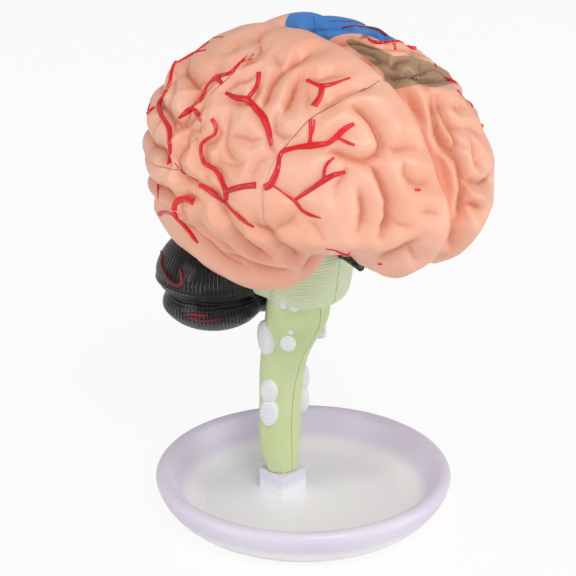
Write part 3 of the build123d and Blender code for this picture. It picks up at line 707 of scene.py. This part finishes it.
# %% Measure the painted fields
BLUE_FIELD = [
    (284, 26), (286, 19), (295, 4), (360, 2), (430, 20), (442, 46), (430, 50), (420, 47),
    (409, 45), (400, 41), (390, 41), (383, 42), (375, 39), (367, 36), (359, 34), (350, 34),
    (342, 35), (335, 37), (328, 41), (321, 42), (315, 41), (310, 35), (306, 32), (298, 32),
    (290, 30),
]
BROWN_FIELD = [
    (344, 41), (350, 38), (357, 40), (366, 44), (376, 47), (386, 52), (395, 56), (406, 55),
    (416, 57), (428, 61), (440, 67), (452, 72), (474, 76), (474, 80), (458, 83), (447, 85),
    (436, 88), (428, 87), (422, 84), (413, 86), (404, 88), (394, 90), (388, 87), (384, 81),
    (384, 75), (378, 68), (370, 62), (364, 58), (358, 53), (350, 47),
]
# Nothing below this height is painted
FIELD_FLOOR = 104.0
PAINTED_LOBES = ("frontal_left", "parietal_left", "occipital_left")


def to_pixels(points):
    """Where points in metres are seen in the picture."""
    from_eye = points - np.array(eye)
    ahead = from_eye @ -np.array(away)
    x = PICTURE_WIDTH / 2 + FOCAL_PIXELS * (from_eye @ np.array(picture_right)) / ahead
    y = PICTURE_WIDTH / 2 - FOCAL_PIXELS * (from_eye @ np.array(picture_up)) / ahead
    return np.stack([x, y], axis=1)


def inside_distance(pixels, outline):
    """Distance to a closed outline: above zero inside it, and below zero outside."""
    closed = np.array(outline + outline[:1], float)
    inside = np.zeros(len(pixels), bool)
    for a, b in zip(closed[:-1], closed[1:]):
        spans = (a[1] > pixels[:, 1]) != (b[1] > pixels[:, 1])
        crossing = a[0] + (pixels[:, 1] - a[1]) * (b[0] - a[0]) / (b[1] - a[1] + 1e-9)
        inside ^= spans & (pixels[:, 0] < crossing)
    gap = distance_to_line(pixels, closed)
    return np.where(inside, gap, -gap)


def paint_field(piece, name, outline):
    co = np.zeros(len(piece.data.vertices) * 3)
    piece.data.vertices.foreach_get("co", co)
    co = co.reshape(-1, 3)
    inside = inside_distance(to_pixels(co), outline)
    inside = np.minimum(inside, co[:, 2] / MM - FIELD_FLOOR)
    layer = piece.data.attributes.new(name, "FLOAT", "POINT")
    layer.data.foreach_set("value", inside.astype(np.float32))


for name in PAINTED_LOBES:
    paint_field(lobes[name], "blue_field", BLUE_FIELD)
    paint_field(lobes[name], "brown_field", BROWN_FIELD)
print("painted lobes:", len(PAINTED_LOBES))

# %% [markdown]
# ## Shared finishes
# Soft moulded plastic is never quite even: its colour clouds a little, and its skin
# has a faint grain. Every plastic here shows that, so it is one group of nodes with its
# own size and strength in each material.

# %% The group for clouded, grained plastic
GRAIN_HEIGHT = 0.2 * MM
CLOUD_LOW = 0.35
CLOUD_HIGH = 0.65
# A Mix node has sockets of one name for every kind of value, so colours go by number
COLOUR_A = 6
COLOUR_B = 7
COLOUR_RESULT = 2


def plastic_grain_group():
    group = bpy.data.node_groups.new("plastic_grain", "ShaderNodeTree")
    for name, value in (("Cloud size", 60.0), ("Grain size", 900.0), ("Bump", 0.2)):
        socket = group.interface.new_socket(name, in_out="INPUT", socket_type="NodeSocketFloat")
        socket.default_value = value
    group.interface.new_socket("Cloud", in_out="OUTPUT", socket_type="NodeSocketFloat")
    group.interface.new_socket("Normal", in_out="OUTPUT", socket_type="NodeSocketVector")
    given = node(group, "NodeGroupInput").outputs
    place = node(group, "ShaderNodeTexCoord").outputs["Object"]
    cloud = node(group, "ShaderNodeTexNoise", {
        "Vector": place, "Scale": given["Cloud size"], "Detail": 3.0, "Roughness": 0.5,
    })
    grain = node(group, "ShaderNodeTexNoise", {
        "Vector": place, "Scale": given["Grain size"], "Detail": 2.0, "Roughness": 0.6,
    })
    bump = node(group, "ShaderNodeBump", {
        "Height": grain.outputs["Fac"], "Strength": given["Bump"], "Distance": GRAIN_HEIGHT,
    })
    results = {"Cloud": cloud.outputs["Fac"], "Normal": bump.outputs["Normal"]}
    node(group, "NodeGroupOutput", results)
    return group


plastic_grain = plastic_grain_group()


def add_grain(tree, cloud_size, grain_size, bump):
    sizes = {"Cloud size": cloud_size, "Grain size": grain_size, "Bump": bump}
    return node(tree, "ShaderNodeGroup", sizes, node_tree=plastic_grain)


def blend_colour(tree, share, first, second):
    """A mix of two colours or colour sockets, by a share from 0 to 1."""
    inputs = {"Factor": share, COLOUR_A: first, COLOUR_B: second}
    return node(tree, "ShaderNodeMix", inputs, data_type="RGBA").outputs[COLOUR_RESULT]


def spread(tree, value, low, high, smooth=True):
    """Maps low to 0 and high to 1."""
    inputs = {"Value": value, "From Min": low, "From Max": high}
    kind = "SMOOTHSTEP" if smooth else "LINEAR"
    ramp = node(tree, "ShaderNodeMapRange", inputs, interpolation_type=kind)
    return ramp.outputs["Result"]


def clouded(tree, grain, light, dark):
    """Two close tones that cloud into each other."""
    share = spread(tree, grain.outputs["Cloud"], CLOUD_LOW, CLOUD_HIGH)
    return blend_colour(tree, share, colour(light), colour(dark))


def place_share(tree, axis, low, high):
    """0 before and 1 after a stretch of one axis, in metres."""
    place = node(tree, "ShaderNodeTexCoord").outputs["Object"]
    split = node(tree, "ShaderNodeSeparateXYZ", {"Vector": place})
    return spread(tree, split.outputs[axis], low, high)


def plain_plastic(name, light, dark, rough, cloud_size=60.0, bump=0.2, **finish):
    """A moulded plastic whose colour clouds between two close tones."""
    made, tree, shader = material(name, Roughness=rough, **finish)
    grain = add_grain(tree, cloud_size, 900.0, bump)
    tone = clouded(tree, grain, light, dark)
    feed(shader, {"Base Color": tone, "Normal": grain.outputs["Normal"]})
    return made


print("shared groups: 1")


# %% [markdown]
# ## The cortex
# The vinyl is a warm peach. The creases get a painted shade, a deeper and more orange
# tone. The field colours lie over that, and get a darker painted shade in their own
# creases too.

# %% Cortex material
CREASE_SHADE_LOW = 0.12
CREASE_SHADE_HIGH = 0.95
FIELD_EDGE_LOW = 0.05
FIELD_EDGE_HIGH = 0.6
# Each field with its paint on the folds and its painted shade in the creases
FIELD_PAINTS_AND_SHADES = (("blue_field", "4089D4", "174E97"), ("brown_field", "B8936E", "6A4A36"))


def attribute(tree, name):
    return node(tree, "ShaderNodeAttribute", attribute_name=name).outputs["Fac"]


def cortex_material():
    made, tree, shader = material(
        "cortex_vinyl", Roughness=0.42, Subsurface_Weight=0.12, Subsurface_Scale=0.002,
        Subsurface_Radius=(1.0, 0.45, 0.3), Coat_Weight=0.15, Coat_Roughness=0.3,
    )
    grain = add_grain(tree, 45.0, 1100.0, 0.12)
    # deep is the share of painted shade in the creases, and D67852 is that painted shade on the peach
    deep = spread(tree, attribute(tree, "crease"), CREASE_SHADE_LOW, CREASE_SHADE_HIGH, smooth=False)
    peach = clouded(tree, grain, "FFC2A8", "FBB698")
    skin = blend_colour(tree, deep, peach, colour("D67852"))
    # Each field's paint lies over that, with its own painted shade in the creases
    for field, light, dark in FIELD_PAINTS_AND_SHADES:
        cover = spread(tree, attribute(tree, field), FIELD_EDGE_LOW, FIELD_EDGE_HIGH)
        paint = blend_colour(tree, deep, colour(light), colour(dark))
        skin = blend_colour(tree, cover, skin, paint)
    feed(shader, {"Base Color": skin, "Normal": grain.outputs["Normal"]})
    return made


cortex_vinyl = cortex_material()
for piece in lobes.values():
    piece.data.materials.append(cortex_vinyl)
print("cortex pieces:", len(lobes))

# %% [markdown]
# ## Arteries
# On the real model the arteries are raised cords of the same moulding, painted a glossy
# red. A curve with a round bevel is the plain way to make them: each has a line on the
# picture and a width at each point. The lines of sight are followed to the dressed
# lobes, and where a line passes from one lobe to the next it is parted, so that each
# lobe carries its own arteries when it is pulled off.

# %% Arteries of the near half, as pixels with a width
NEAR_ARTERIES = {
    "crest": [
        (223, 37, 1.7), (212, 38, 2), (200, 44, 2.2), (189, 52, 2.8), (175, 63, 4.2), (172, 70, 4.2),
        (170, 83, 3.6), (165, 94, 3.9), (158, 105, 5.1), (161, 115, 4.8), (167, 124, 5.1), (170, 129, 5.6),
        (170, 145, 4.8), (170, 156, 3.6), (169, 164, 4.2),
    ],
    "parietal": [
        (252, 59, 0.8), (241, 61, 2), (237, 66, 3.1), (231, 73, 3.6), (224, 75, 4.2), (217, 77, 6.2),
        (212, 82, 5.3), (206, 89, 4.2), (202, 97, 3.1), (195, 106, 3.6), (188, 111, 6.2), (179, 118, 2.5),
    ],
    "parietal_knob": [(217, 77, 5.6), (223, 86, 4.8)],
    "parietal_foot": [(193, 108, 5.6), (198, 113, 4.8), (201, 122, 2)],
    "central": [
        (226, 93, 3.4), (235, 98, 5.9), (247, 99, 6.5), (256, 108, 6.2), (265, 118, 7), (269, 131, 5.9),
        (272, 145, 3.9),
    ],
    "central_branch": [(247, 99, 4.8), (254, 91, 3.9), (258, 83, 3.6), (259, 73, 5.3)],
    "angular": [
        (212, 119, 4.2), (216, 125, 3.6), (216, 134, 3.1), (207, 139, 3.1), (201, 143, 3.4),
        (201, 153, 3.6), (204, 164, 4.1), (215, 169, 4.1), (219, 175, 4.4), (224, 186, 5.1),
        (227, 192, 6.8), (226, 203, 4.4),
    ],
    "angular_front": [(227, 191, 5.3), (236, 188, 5.6), (245, 186, 5.3), (256, 185, 6.3)],
    "angular_low": [(226, 203, 4.1), (232, 210, 3.4), (242, 220, 3.4), (248, 224, 2.9), (254, 227, 1.9)],
    "sylvian_thick": [(200, 185, 4.6), (207, 188, 5.8), (215, 195, 4.8), (224, 202, 3.6)],
    "frontal": [
        (263, 188, 6.3), (270, 186, 6.8), (274, 178, 6.1), (278, 169, 5.3), (279, 160, 4.1),
        (281, 152, 4.4), (285, 150, 4.4), (299, 147, 5), (311, 146, 7), (321, 144, 5.3), (329, 144, 4.4),
        (336, 138, 5.6), (342, 131, 5.9), (349, 126, 4.4), (354, 124, 3.8),
    ],
    "frontal_rise": [(310, 145, 5.3), (310, 138, 2.9), (312, 130, 5.3), (312, 118, 6.5)],
    "frontal_twig": [(338, 138, 3.2), (348, 143, 3.2), (355, 145, 2.3)],
    "lower": [
        (273, 185, 1.9), (285, 194, 1.9), (296, 202, 3.2), (302, 211, 2.7), (310, 215, 3.4), (321, 218, 1),
    ],
    "lower_branch": [
        (296, 199, 3.2), (307, 192, 4.4), (316, 186, 4.6), (323, 181, 5.6), (333, 175, 5.1),
        (345, 172, 3.3),
    ],
    "lower_twig": [(324, 181, 3.8), (324, 168, 2.6), (328, 162, 3.1), (334, 158, 2.3)],
    "temporal": [
        (194, 202, 7), (186, 198, 6.5), (179, 199, 6.3), (174, 206, 6.3), (175, 215, 6.3), (181, 222, 5.3),
        (190, 232, 4.4), (194, 238, 4.8), (198, 243, 2.4),
    ],
    "temporal_twig": [(173, 215, 3.2), (165, 211, 3.4), (160, 214, 5.3)],
}
# The hidden side of the far half repeats those above, but not these
NEAR_HALF_ARTERIES = {
    "crest_strand": [(209, 42, 2), (200, 49, 2.5), (193, 54, 3.1), (175, 64, 2.8)],
    "crest_twig": [(206, 50, 1.7), (196, 52, 2.5), (186, 58, 2.2)],
    "rear_twig": [(155, 107, 2.8), (150, 111, 4.5), (146, 116, 2.8)],
    "rear_edge": [(150, 104, 2), (146, 117, 2.2), (143, 131, 2)],
    "parietal_tip": [(248, 55, 0.8), (241, 61, 1.7)],
    "sylvian": [(175, 163, 1), (180, 171, 1.2), (188, 176, 1.3), (199, 181, 1.7)],
    "upper": [(308, 81, 5.3), (314, 84, 3.8), (323, 87, 5.9), (336, 83, 3.2), (350, 78, 2.1)],
    "upper_foot": [(322, 87, 5.9), (321, 96, 5.3), (314, 106, 6.7)],
    "temporal_rear": [(158, 181, 2.9), (158, 193, 1.9), (159, 203, 1.2)],
    "orbital": [(326, 249, 1.5), (336, 250, 1.8), (343, 254, 4.6), (349, 256, 5.1), (351, 252, 3.1)],
    "pole_dot": [(415, 190, 2.8), (420, 190, 2.8)],
    "orbital_dot": [(378, 264, 2.3), (382, 264, 2.3)],
}

# %% Arteries of the far half, as pixels with a width
FAR_ARTERIES = {
    "crest_left": [(364, 36, 2.1), (373, 42, 3.2), (382, 43, 4.4), (390, 42, 3.8), (399, 41, 2.6)],
    "crest_join": [(399, 41, 2.1), (405, 44, 1.5), (411, 48, 3.5)],
    "crest_left_far": [(411, 48, 4.4), (423, 50, 5), (433, 56, 4.4), (440, 60, 5.9), (446, 65, 4.4)],
    "drop": [(394, 43, 3.2), (395, 48, 2.9), (396, 52, 2.1)],
    "drop_far": [(433, 59, 2.1), (436, 68, 2.3)],
    "pole_left": [(474, 110, 4.4), (477, 106, 2.9)],
}
DARK_ARTERIES = {
    "dark_far": [
        (342, 28, 2.1), (352, 26, 2.1), (364, 27, 2.1), (373, 26, 2.3), (380, 31, 3.8), (387, 36, 3.2),
    ],
    "dark_line": [(329, 21, 0.9), (346, 21, 1), (358, 23, 1.2), (370, 24, 1.8), (379, 24, 2.3)],
    "dark_edge": [(399, 38, 2.3), (408, 40, 2.9), (416, 45, 2.9)],
}

# %% Follow the lines of sight to the lobes
PIXELS_PER_MM = 4.75
ARTERY_STEP = 2.0
ARTERY_WIDTH = 1.15
ARTERY_JUMP = 3 * MM
EVENINGS = 2


def surface_tree(piece):
    corners = [v.co for v in piece.data.vertices]
    faces = [tuple(p.vertices) for p in piece.data.polygons]
    return BVHTree.FromPolygons(corners, faces)


def nearest_hit(trees, start, ray, half):
    """How far a ray goes before it meets a piece of that half, its name and the point."""
    hits = []
    for name, tree in trees.items():
        place, normal, face, distance = tree.ray_cast(start, ray)
        if place is not None and name.endswith(half):
            hits.append((distance, name, place))
    return min(hits, default=None, key=lambda hit: hit[0])


def evened(points):
    """The points with the small jumps between neighbours taken out."""
    for evening in range(EVENINGS):
        points[1:-1] = (points[:-2] + 2 * points[1:-1] + points[2:]) / 4
    return points


def even_steps(line):
    """The line's points at even steps, on a smooth curve through them."""
    points = np.array(line, float)
    lengths = np.linalg.norm(np.diff(points[:, :2], axis=0), axis=1)
    along = np.concatenate([[0], np.cumsum(lengths)])
    count = max(int(along[-1] / ARTERY_STEP), 2)
    at = np.linspace(0, along[-1], count + 1)
    return evened(np.stack([np.interp(at, along, points[:, i]) for i in range(3)], axis=1))


def artery_runs(trees, line, mirrored):
    """Parts of a line of sight by lobe: (lobe, [(point, radius in metres)])."""
    runs = []
    half = "left" if mirrored else ""
    for x, y, width in even_steps(line):
        start = eye.copy()
        ray = sight(x, y)
        if mirrored:
            start.x = -start.x
            ray.x = -ray.x
        hit = nearest_hit(trees, start, ray, half)
        if hit is None:
            continue
        distance, lobe, place = hit
        radius = width / PIXELS_PER_MM * ARTERY_WIDTH / 2 * MM
        if not runs or runs[-1][0] != lobe or (runs[-1][1][-1][0] - place).length > ARTERY_JUMP:
            runs.append((lobe, []))
        runs[-1][1].append((place, radius))
    return [run for run in runs if len(run[1]) > 1]


def smoothed(run):
    """Evens out the small jumps that the folds give a line."""
    places, radii = zip(*run)
    return list(zip(evened(np.array(places)), radii))


# %% Make the artery curves
def artery_piece(name, body, runs, paint):
    curve = bpy.data.curves.new(name, "CURVE")
    curve.dimensions = "3D"
    curve.bevel_depth = 1.0
    curve.bevel_resolution = 3
    curve.use_fill_caps = True
    for run in runs:
        points = smoothed(run)
        spline = curve.splines.new("POLY")
        spline.points.add(len(points) - 1)
        spline.use_smooth = True
        for target, (place, radius) in zip(spline.points, points):
            target.co = (*place, 1)
            target.radius = radius
    curve.materials.append(paint)
    piece = new_object(name, curve)
    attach(piece, body)
    return piece


artery_red = plain_plastic("artery_red", "EE1626", "D80F1E", 0.25, bump=0.15, Coat_Weight=0.4)
artery_dark = plain_plastic("artery_dark", "8C1F2A", "6A1620", 0.3, bump=0.15)


def all_runs(trees, table, mirrored=False):
    return [run for line in table.values() for run in artery_runs(trees, line, mirrored)]


def artery_pieces(prefix, found, paint):
    """One piece for each lobe that carries any of the runs found."""
    by_lobe = {}
    for lobe, run in found:
        by_lobe.setdefault(lobe, []).append(run)
    for lobe, runs in by_lobe.items():
        artery_piece(f"{prefix}_{lobe}", lobe, runs, paint)
    print(prefix, "pieces:", len(by_lobe))


lobe_trees = {name: surface_tree(piece) for name, piece in lobes.items()}
red_runs = all_runs(lobe_trees, {**NEAR_ARTERIES, **NEAR_HALF_ARTERIES, **FAR_ARTERIES})
red_runs += all_runs(lobe_trees, NEAR_ARTERIES, mirrored=True)
artery_pieces("arteries", red_runs, artery_red)
artery_pieces("dark_arteries", all_runs(lobe_trees, DARK_ARTERIES), artery_dark)

# %% [markdown]
# ## Stem
# The stem is two moulded halves in pale green, lighter on the pons, greyer behind it,
# and with fine lines across the pons. Its shape is right as it was packed, so it keeps
# its solids. Its zones go by place, and the lines are too fine for a mesh, so they are
# bump.

# %% Stem material
# The lowest and highest place of each change of tone, in metres
PONS_EDGE = (0.0550, 0.0560)
GREY_BACK = (0.0045, 0.0065)
GREY_RISE = (0.0460, 0.0490)


def bump_over(tree, grain, height, strength, distance):
    """A bump of a height in metres over the grain of a plastic."""
    return node(tree, "ShaderNodeBump", {
        "Height": height, "Normal": grain.outputs["Normal"],
        "Strength": strength, "Distance": distance,
    }).outputs["Normal"]


def stem_material():
    made, tree, shader = material(
        "stem_green", Roughness=0.4, Subsurface_Weight=0.1, Subsurface_Scale=0.002,
    )
    grain = add_grain(tree, 50.0, 900.0, 0.15)
    green = clouded(tree, grain, "D8E6B0", "CDDFA2")
    on_pons = place_share(tree, "Z", *PONS_EDGE)
    behind = place_share(tree, "Y", *GREY_BACK)
    grey = calculate(tree, "MULTIPLY", behind, place_share(tree, "Z", *GREY_RISE))
    green = blend_colour(tree, grey, green, colour("9DB0A4"))
    lighter = blend_colour(tree, on_pons, green, colour("E0F0C8"))
    lines = node(tree, "ShaderNodeTexWave", {
        "Vector": node(tree, "ShaderNodeTexCoord").outputs["Object"],
        "Scale": 380.0, "Distortion": 1.2, "Detail": 1.0, "Detail Scale": 0.8,
    }, wave_type="BANDS", bands_direction="Z")
    shown = calculate(tree, "MULTIPLY", lines.outputs["Fac"], on_pons)
    ribs = bump_over(tree, grain, shown, strength=0.5, distance=0.3 * MM)
    feed(shader, {"Base Color": lighter, "Normal": ribs})
    return made


def give(node_name, paint):
    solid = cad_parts[node_name]
    solid.data.materials.clear()
    solid.data.materials.append(paint)


stem_green = stem_material()
give("brainstem_right", stem_green)
give("brainstem_left", stem_green)
print("stem solids: 2")

# %% [markdown]
# ## Root pads
# The nerve roots are raised white pads on the stem, the big ones with ribs. A flat disc
# would look stuck on, so each is a ball squashed onto the stem, with its ribs pressed
# in, set over the plain pad of the solid.

# %% Root pads
# Place, turn, half width, half height and rise of each, on the right half
PADS = {
    "pad_upper": ((-6.0, 6.4, 44.8), 20, 3.3, 4.3, 1.75),
    "pad_middle": ((-5.4, -0.2, 45.4), -34, 1.9, 2.3, 1.45),
    "pad_knob": ((-5.2, -1.0, 48.6), -34, 0.8, 0.9, 1.35),
    "pad_lower": ((-5.6, 6.0, 31.0), -20, 2.1, 3.2, 1.6),
    "pad_lowest": ((-5.5, 6.1, 25.2), -28, 2.2, 3.6, 1.7),
    "dot_outer": ((-9.8, -3.2, 57.3), -13, 1.0, 1.2, 0.8),
    "dot_inner": ((-8.4, -5.2, 56.4), -33, 1.0, 0.9, 0.8),
    "dot_front": ((-2.2, -7.8, 56.2), -78, 0.6, 0.9, 0.7),
}
RIB_DEPTH = 0.10
RIBS_PER_MM = 1.25
RIBBED_FROM = 3.0
# A power below 1 fattens the rim, so that a pad is a slab and not an egg
PAD_FULLNESS = 0.6
PAD_COLUMNS = 40
PAD_ROWS = 48
pad_white = plain_plastic("pad_white", "F3F6F7", "E8EEF0", 0.4, bump=0.2)


def pad(name, side_name):
    (x, y, z), turn, half_width, half_height, rise = PADS[name]
    work = bmesh.new()
    bmesh.ops.create_uvsphere(work, u_segments=PAD_COLUMNS, v_segments=PAD_ROWS, radius=1.0)
    ribs = RIB_DEPTH if half_height >= RIBBED_FROM else 0
    angle = math.radians(-turn)
    for v in work.verts:
        height = v.co.z * half_height
        plump = 1 + ribs / rise * math.sin(height * RIBS_PER_MM * 2 * math.pi)
        across = math.copysign(abs(v.co.x) ** PAD_FULLNESS, v.co.x) * rise * plump
        along = v.co.y * half_width
        px = x + across * math.cos(angle) - along * math.sin(angle)
        py = y + across * math.sin(angle) + along * math.cos(angle)
        v.co = Vector((px * SIDES[side_name], py, z + height)) * MM
    bmesh.ops.recalc_face_normals(work, faces=work.faces)
    piece = new_object(f"{name}_{side_name}", finished_mesh(name, work))
    piece.data.shade_smooth()
    piece.data.materials.append(pad_white)
    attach(piece, "core")


for name in PADS:
    for side_name in SIDES:
        pad(name, side_name)
print("pads:", len(PADS) * 2)

# %% [markdown]
# ## Cerebellum
# The real one is a black moulding with fine leaves. They hang like the ribs of a fan
# above a deep groove, run along that groove in a few rings, and hang again on the fat
# lower lobe. The big forms are moved in the mesh. The leaves are half a millimetre wide,
# so they are a bump that counts ribs round a half and rings up it.

# %% Dress the cerebellum
CEREBELLUM_CENTRE = np.array([-8.5, 22.2, 56.8])
CEREBELLUM_HALF = np.array([13.6, 14.0, 12.6])
GROOVE_RISE = -16.0
GROOVE_WIDTH = 9.0
GROOVE_DEPTH = 2.4
LOBE_BULGE = 0.7
# Where the bulge of the lower lobe starts, how soon it is full, and where it fades
BULGE_START = -24.0
BULGE_RISE = 10.0
BULGE_FADE = 40.0
# Rise and depth of each ring between the leaves
SHELL_RINGS = ((-4.0, 0.5), (6.0, 0.35))
SHELL_RING_WIDTH = 2.5
CEREBELLUM_CUTS = 4
RIBS_AROUND = 110
RINGS_UP = 26
BAND_LOW = -24.0
BAND_HIGH = 4.0
BAND_FADE = 5.0
FAN_CENTRE = 0.35
MEDIAL_WALL = 0.1
PEG_X = -5.5
PEG_Z = 58.5
PEG_ROOM = 2.3
PEG_ROOM_END = 18.6


def cerebellum_skin(points):
    """Moves points of a half onto its skin, and counts the leaves there."""
    unit = (points - CEREBELLUM_CENTRE) / CEREBELLUM_HALF
    unit = unit / np.linalg.norm(unit, axis=1)[:, None]
    rise = np.degrees(np.arcsin(unit[:, 2]))
    inset = GROOVE_DEPTH * np.exp(-(((rise - GROOVE_RISE) / GROOVE_WIDTH) ** 2))
    for ring_rise, depth in SHELL_RINGS:
        inset += depth * np.exp(-(((rise - ring_rise) / SHELL_RING_WIDTH) ** 2))
    fat = np.clip((BULGE_START - rise) / BULGE_RISE, 0, 1)
    inset -= LOBE_BULGE * fat * np.clip((rise + 90) / BULGE_FADE, 0, 1)
    radius = np.linalg.norm(unit * CEREBELLUM_HALF, axis=1)
    moved = CEREBELLUM_CENTRE + unit * CEREBELLUM_HALF * (1 - inset / radius)[:, None]
    turn = np.arctan2(unit[:, 0] - FAN_CENTRE, -unit[:, 1])
    band = np.clip((rise - BAND_LOW) / BAND_FADE, 0, 1) * np.clip((BAND_HIGH - rise) / BAND_FADE, 0, 1)
    return moved, turn / (2 * math.pi) * RIBS_AROUND, rise / 90 * RINGS_UP, band


def near_peg(point):
    return math.hypot(point[0] - PEG_X, point[2] - PEG_Z) < PEG_ROOM


def cerebellum_faces(work, side_name):
    """Every face but the flat one at the midline and those of the peg's socket."""
    skin = []
    for face in work.faces:
        centre = on_right(np.array(face.calc_center_median()) / MM, side_name)
        in_socket = near_peg(centre) and centre[1] < PEG_ROOM_END
        if centre[0] < MIDLINE_X - MEDIAL_WALL and not in_socket:
            skin.append(face)
    return skin


def dress_cerebellum(side_name):
    node_name = f"cerebellum_{side_name}"
    work, marked, layers = opened_copy(node_name, "ribs", "rings", "band")
    skin = cerebellum_faces(work, side_name)
    on_skin, points = cut_finer(work, marked, skin, CEREBELLUM_CUTS, side_name)
    rim = {v for face in work.faces if not face[marked] for v in face.verts}
    moved, *counts = cerebellum_skin(points)
    moved = on_right(moved, side_name)
    for i, v in enumerate(on_skin):
        if v in rim and near_peg(points[i]):
            continue
        keep_x = v.co.x
        v.co = moved[i] * MM
        if v in rim:
            v.co.x = keep_x
        for layer, count in zip(layers, counts):
            v[layer] = count[i]
    name = f"cerebellum_leaves_{side_name}"
    return dressed_piece(name, work, marked, node_name, node_name)


# %% Cerebellum material
LEAF_WANDER = 2.0
# Patches of the leaf crests that get a painted highlight, as grey glints
GLINT_PATCH_LOW = 0.42
GLINT_PATCH_HIGH = 0.58
CREST_LOW = 0.72


def wave_of(tree, count, wander):
    """A wave with one crest for each whole number of an attribute, a little uneven."""
    uneven = calculate(tree, "MULTIPLY_ADD", wander, LEAF_WANDER, attribute(tree, count))
    return calculate(tree, "SINE", calculate(tree, "MULTIPLY", uneven, 2 * math.pi))


def cerebellum_material():
    made, tree, shader = material(
        "cerebellum_black", Roughness=0.26, Coat_Weight=0.3, Coat_Roughness=0.15,
    )
    grain = add_grain(tree, 130.0, 900.0, 0.2)
    cloud = grain.outputs["Cloud"]
    ribs = wave_of(tree, "ribs", cloud)
    rings = wave_of(tree, "rings", cloud)
    band = attribute(tree, "band")
    leaf = node(tree, "ShaderNodeMix", {0: band, 2: ribs, 3: rings}, data_type="FLOAT").outputs[0]
    # A painted highlight: grey glints on the crests of the leaves, in patches, where the gloss catches the
    # light
    glint_patches = spread(tree, cloud, GLINT_PATCH_LOW, GLINT_PATCH_HIGH)
    painted_glints = calculate(tree, "MULTIPLY", glint_patches, spread(tree, leaf, CREST_LOW, 1.0))
    dark = blend_colour(tree, painted_glints, colour("060404"), colour("7E7B84"))
    leaves = bump_over(tree, grain, leaf, strength=1.0, distance=0.5 * MM)
    feed(shader, {"Base Color": dark, "Normal": leaves})
    return made


cerebellum_black = cerebellum_material()
cerebella = {f"cerebellum_{side_name}": dress_cerebellum(side_name) for side_name in SIDES}
for piece in cerebella.values():
    piece.data.materials.append(cerebellum_black)
give("optic_chiasm", cerebellum_black)

# %% [markdown]
# ## Lines on the cerebellum
# A few thin vessels are painted on the black, in dark red. They could be colour in the
# material, but they stand up a little, so they are made as the arteries are.

# %% Dark red lines on the cerebellum, as pixels with a width
CEREBELLUM_LINES = {
    "rim": [
        (164, 244, 1.6), (161, 250, 2.4), (162, 259, 2.7), (161, 266, 3.1), (166, 275, 3.5),
        (170, 282, 4.1), (175, 285, 4.1), (181, 286, 4.7), (183, 282, 4.5), (182, 273, 4.1),
        (180, 269, 3.1),
    ],
    "low": [(184, 315, 2), (193, 314, 3.5), (201, 315, 4.1), (207, 315, 3.1)],
    "lowest": [(188, 317, 2), (197, 320, 2.7), (206, 321, 2.4), (216, 320, 3.1), (218, 318, 1.6)],
    "edge": [(230, 323, 0.8), (240, 323, 1), (249, 321, 0.8)],
}
cerebellum_trees = {name: surface_tree(piece) for name, piece in cerebella.items()}
for side_name in SIDES:
    body = f"cerebellum_{side_name}"
    found = all_runs(cerebellum_trees, CEREBELLUM_LINES, mirrored=side_name == "left")
    runs = [run for carrier, run in found if carrier == body]
    artery_piece(f"red_lines_{side_name}", body, runs, artery_dark)
print("cerebellum lines:", len(CEREBELLUM_LINES) * 2)

# %% [markdown]
# ## Stand and inner pieces
# The stand is a dish of pale lilac plastic. Its floor is painted a whiter tone than its
# wall, as painted light on the open floor. The inner pieces are plain mouldings, each in
# the colour of its own organ, and show only when the lobes are off. All of them are right
# as they were packed, so they keep their solids and get a plastic.

# %% Stand
# Where the painted light of the dish floor, a whiter tone, turns to the lilac of its wall, in metres
DISH_LIT_FLOOR_EDGE = (0.0035, 0.0065)


def stand_material():
    made = plain_plastic(
        "stand_lilac", "E8E4F3", "E2DDEF", 0.3, cloud_size=35.0, bump=0.08,
        Subsurface_Weight=0.25, Subsurface_Scale=0.004,
    )
    tree = made.node_tree
    shader = tree.nodes["Principled BSDF"]
    walls = shader.inputs["Base Color"].links[0].from_socket
    # The floor of the dish gets a whiter tone, as painted light
    above_lit_floor = place_share(tree, "Z", *DISH_LIT_FLOOR_EDGE)
    feed(shader, {"Base Color": blend_colour(tree, above_lit_floor, colour("FBFAFD"), walls)})
    return made


give("dish_stand", stand_material())
print("stand solids: 1")

# %% Inner pieces
INNER = {
    "limbic_lobe": plain_plastic("limbic_cream", "F0DDB8", "E8D2A8", 0.45),
    "thalamus": plain_plastic("thalamus_yellow", "E8BE3C", "DDB030", 0.4),
    "putamen": plain_plastic("putamen_blue", "4A86C8", "3C76B8", 0.4),
    "lateral_ventricle": plain_plastic("ventricle_violet", "8E6BB0", "7F5CA2", 0.4),
    "hippocampus": plain_plastic("hippocampus_orange", "E08B45", "D27C38", 0.4),
}
for name, paint in INNER.items():
    for side_name in SIDES:
        give(f"{name}_{side_name}", paint)
print("inner pieces:", len(INNER) * 2)
